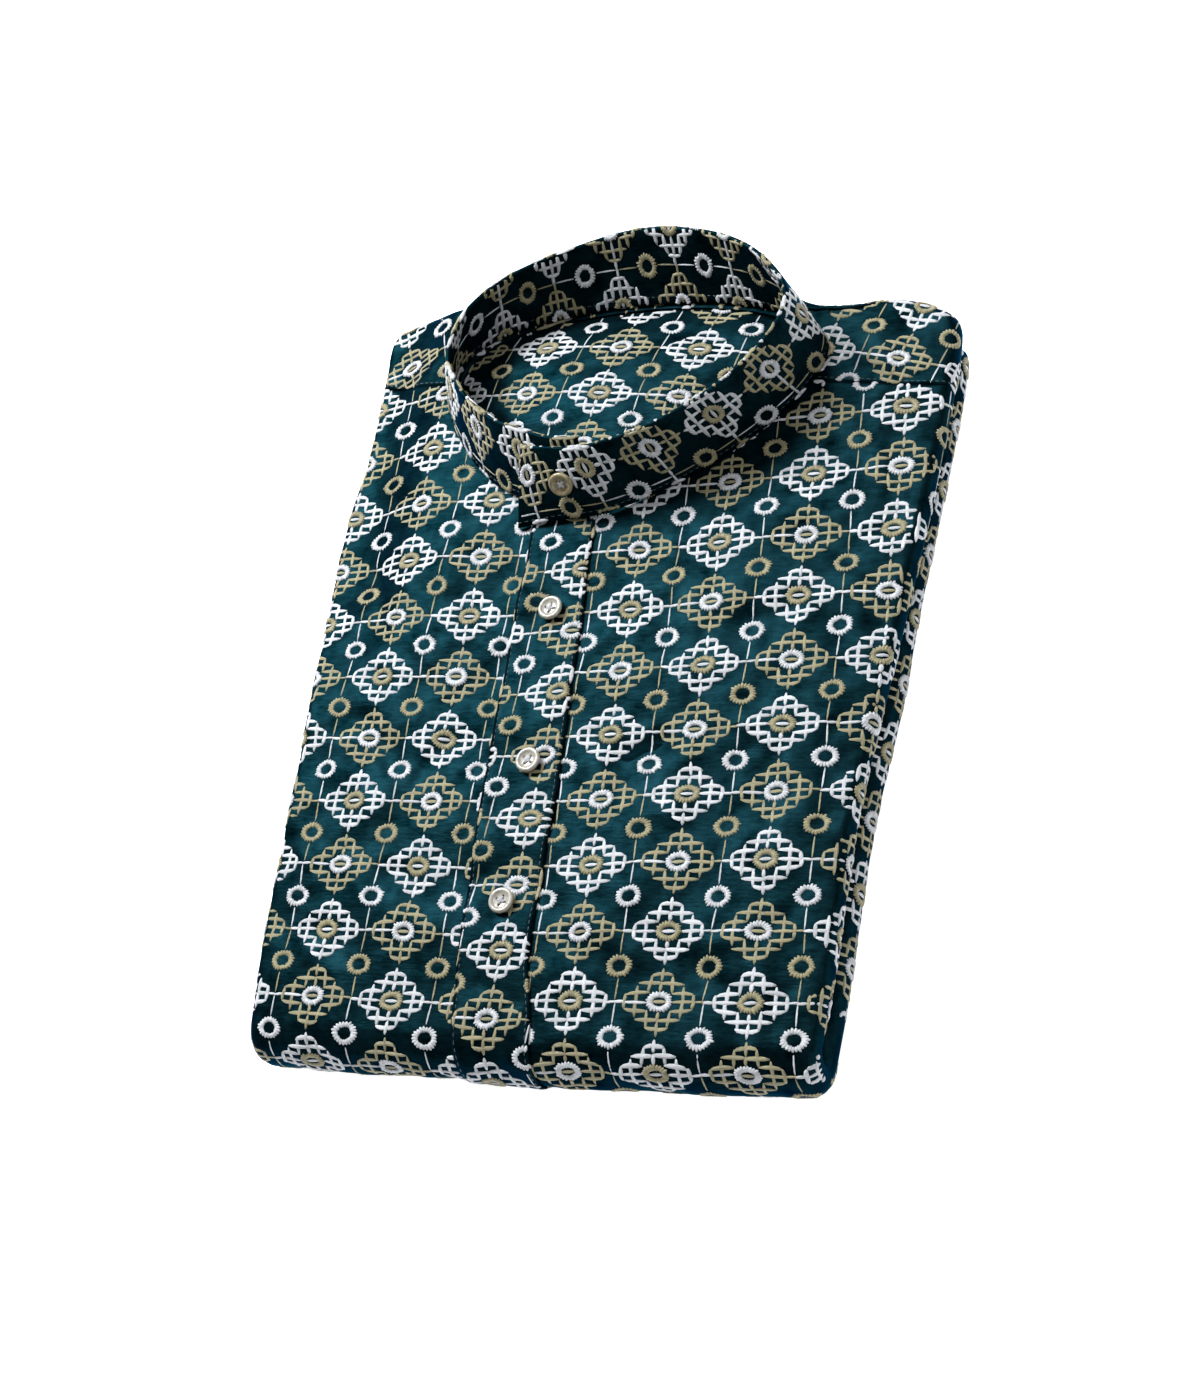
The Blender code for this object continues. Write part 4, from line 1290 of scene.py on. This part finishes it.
def bored(piece):
    """Bores the four thread holes through a button that lies at the origin."""
    holes = []
    for x, y in ((1, 1), (-1, 1), (-1, -1), (1, -1)):
        points, faces = lathe(((0, 5), (HOLE_RADIUS, 5), (HOLE_RADIUS, -3), (0, -3)), 20)
        hole = piece_of("hole", points + (x * HOLE_SPREAD, y * HOLE_SPREAD, 0), faces, resins["cream"])
        cut = piece.modifiers.new("thread hole", "BOOLEAN")
        cut.object = hole
        cut.solver = "EXACT"
        holes.append(hole)
    graph = bpy.context.evaluated_depsgraph_get()
    graph.update()
    mesh = bpy.data.meshes.new_from_object(piece.evaluated_get(graph))
    piece.modifiers.clear()
    piece.data = mesh
    for hole in holes:
        bpy.data.objects.remove(hole)


def tube(path, radius, sides):
    """A thin closed tube along a path."""
    path = np.asarray(path, float)
    along = np.gradient(path, axis=0)
    along /= np.linalg.norm(along, axis=1)[:, None]
    aside = np.cross(along, (0.31, 0.17, 0.93))
    aside /= np.linalg.norm(aside, axis=1)[:, None]
    over = np.cross(aside, along)
    angles = np.linspace(0, math.tau, sides, endpoint=False)
    rings = path[:, None] + radius * (
        aside[:, None] * np.cos(angles)[:, None] + over[:, None] * np.sin(angles)[:, None]
    )
    faces = grid_faces(len(path), sides, True).tolist()
    faces += [list(range(sides))[::-1], list(range(sides * (len(path) - 1), sides * len(path)))]
    return rings.reshape(-1, 3), faces


def button_thread():
    """The crossed strands in a button's holes and the shank under it, as one set of tubes."""
    tubes = []
    for x, y in ((1, 1), (1, -1)):
        for shift in (-STRANDS_APART, STRANDS_APART):
            share = np.linspace(-1, 1, 11)
            height = BUTTON_THICKNESS * 0.6 + 0.32 - 1.5 * np.clip(abs(share) - 0.86, 0, 1) * 8
            # One pair of strands crosses over the other.
            height = height + 0.22 * (y > 0) * (1 - share**2)
            along = share * HOLE_SPREAD * 1.04
            strand = np.column_stack([along * x + shift * y, along * y - shift * x, height])
            tubes.append(tube(strand, STRAND_RADIUS, 8))
    tubes.append(tube([(0, 0, -1.1), (0, 0, -0.4), (0, 0, 0.3)], SHANK_RADIUS, 14))
    points, faces = [], []
    for tube_points, tube_faces in tubes:
        faces += [[corner + len(points) for corner in face] for face in tube_faces]
        points += tube_points.tolist()
    return points, faces


resins = {
    "cream": resin("cream_resin", (0.22, 0.21, 0.175), (0.40, 0.39, 0.35), 260.0),
    "horn": resin("horn_resin", (0.13, 0.105, 0.05), (0.28, 0.24, 0.135), 220.0),
}
Button = namedtuple("Button", "name x y spin colour")
for button in (
    Button("button_top", -28.0, 14.6, 35, "cream"),
    Button("button_middle", -25.0, -58.4, 10, "cream"),
    Button("button_low", -25.0, -122.4, 25, "cream"),
    Button("button_collar", 0, 0, 0, "horn"),
):
    if button.name == "button_collar":
        station = through(BAND, COLLAR_BUTTON_PLACE)
        rise_here = station[3:] - station[:3]
        ahead = through(BAND, COLLAR_BUTTON_PLACE + 0.1) - through(BAND, COLLAR_BUTTON_PLACE - 0.1)
        facing = np.cross(rise_here, ahead[:3])
        facing /= np.linalg.norm(facing)
        facing = -facing if facing[1] > 0 else facing
        seat = station[:3] + rise_here * 0.5 + facing * (BAND_THICKNESS / 2 + COLLAR_BUTTON_RISE)
        turn = Matrix.Rotation(math.atan2(facing[0], -facing[1]), 4, "Z")
        turn = turn @ Matrix.Rotation(math.acos(facing[2]), 4, "X")
    else:
        low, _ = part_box(button.name)
        seat = np.array([button.x, button.y, low[2] / MM])
        turn = Matrix.Rotation(math.radians(button.spin), 4, "Z")
    profile = [(BUTTON_RADIUS * across, BUTTON_THICKNESS * up) for across, up in BUTTON_PROFILE]
    piece = piece_of(button.name + "_turned", *lathe(profile, 64), resins[button.colour])
    bored(piece)
    sewn = piece_of(button.name + "_thread", *button_thread(), white_thread)
    for made in (piece, sewn):
        made.matrix_world = Matrix.Translation(Vector(seat * MM)) @ turn
        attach(made, "root")
    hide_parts(button.name)
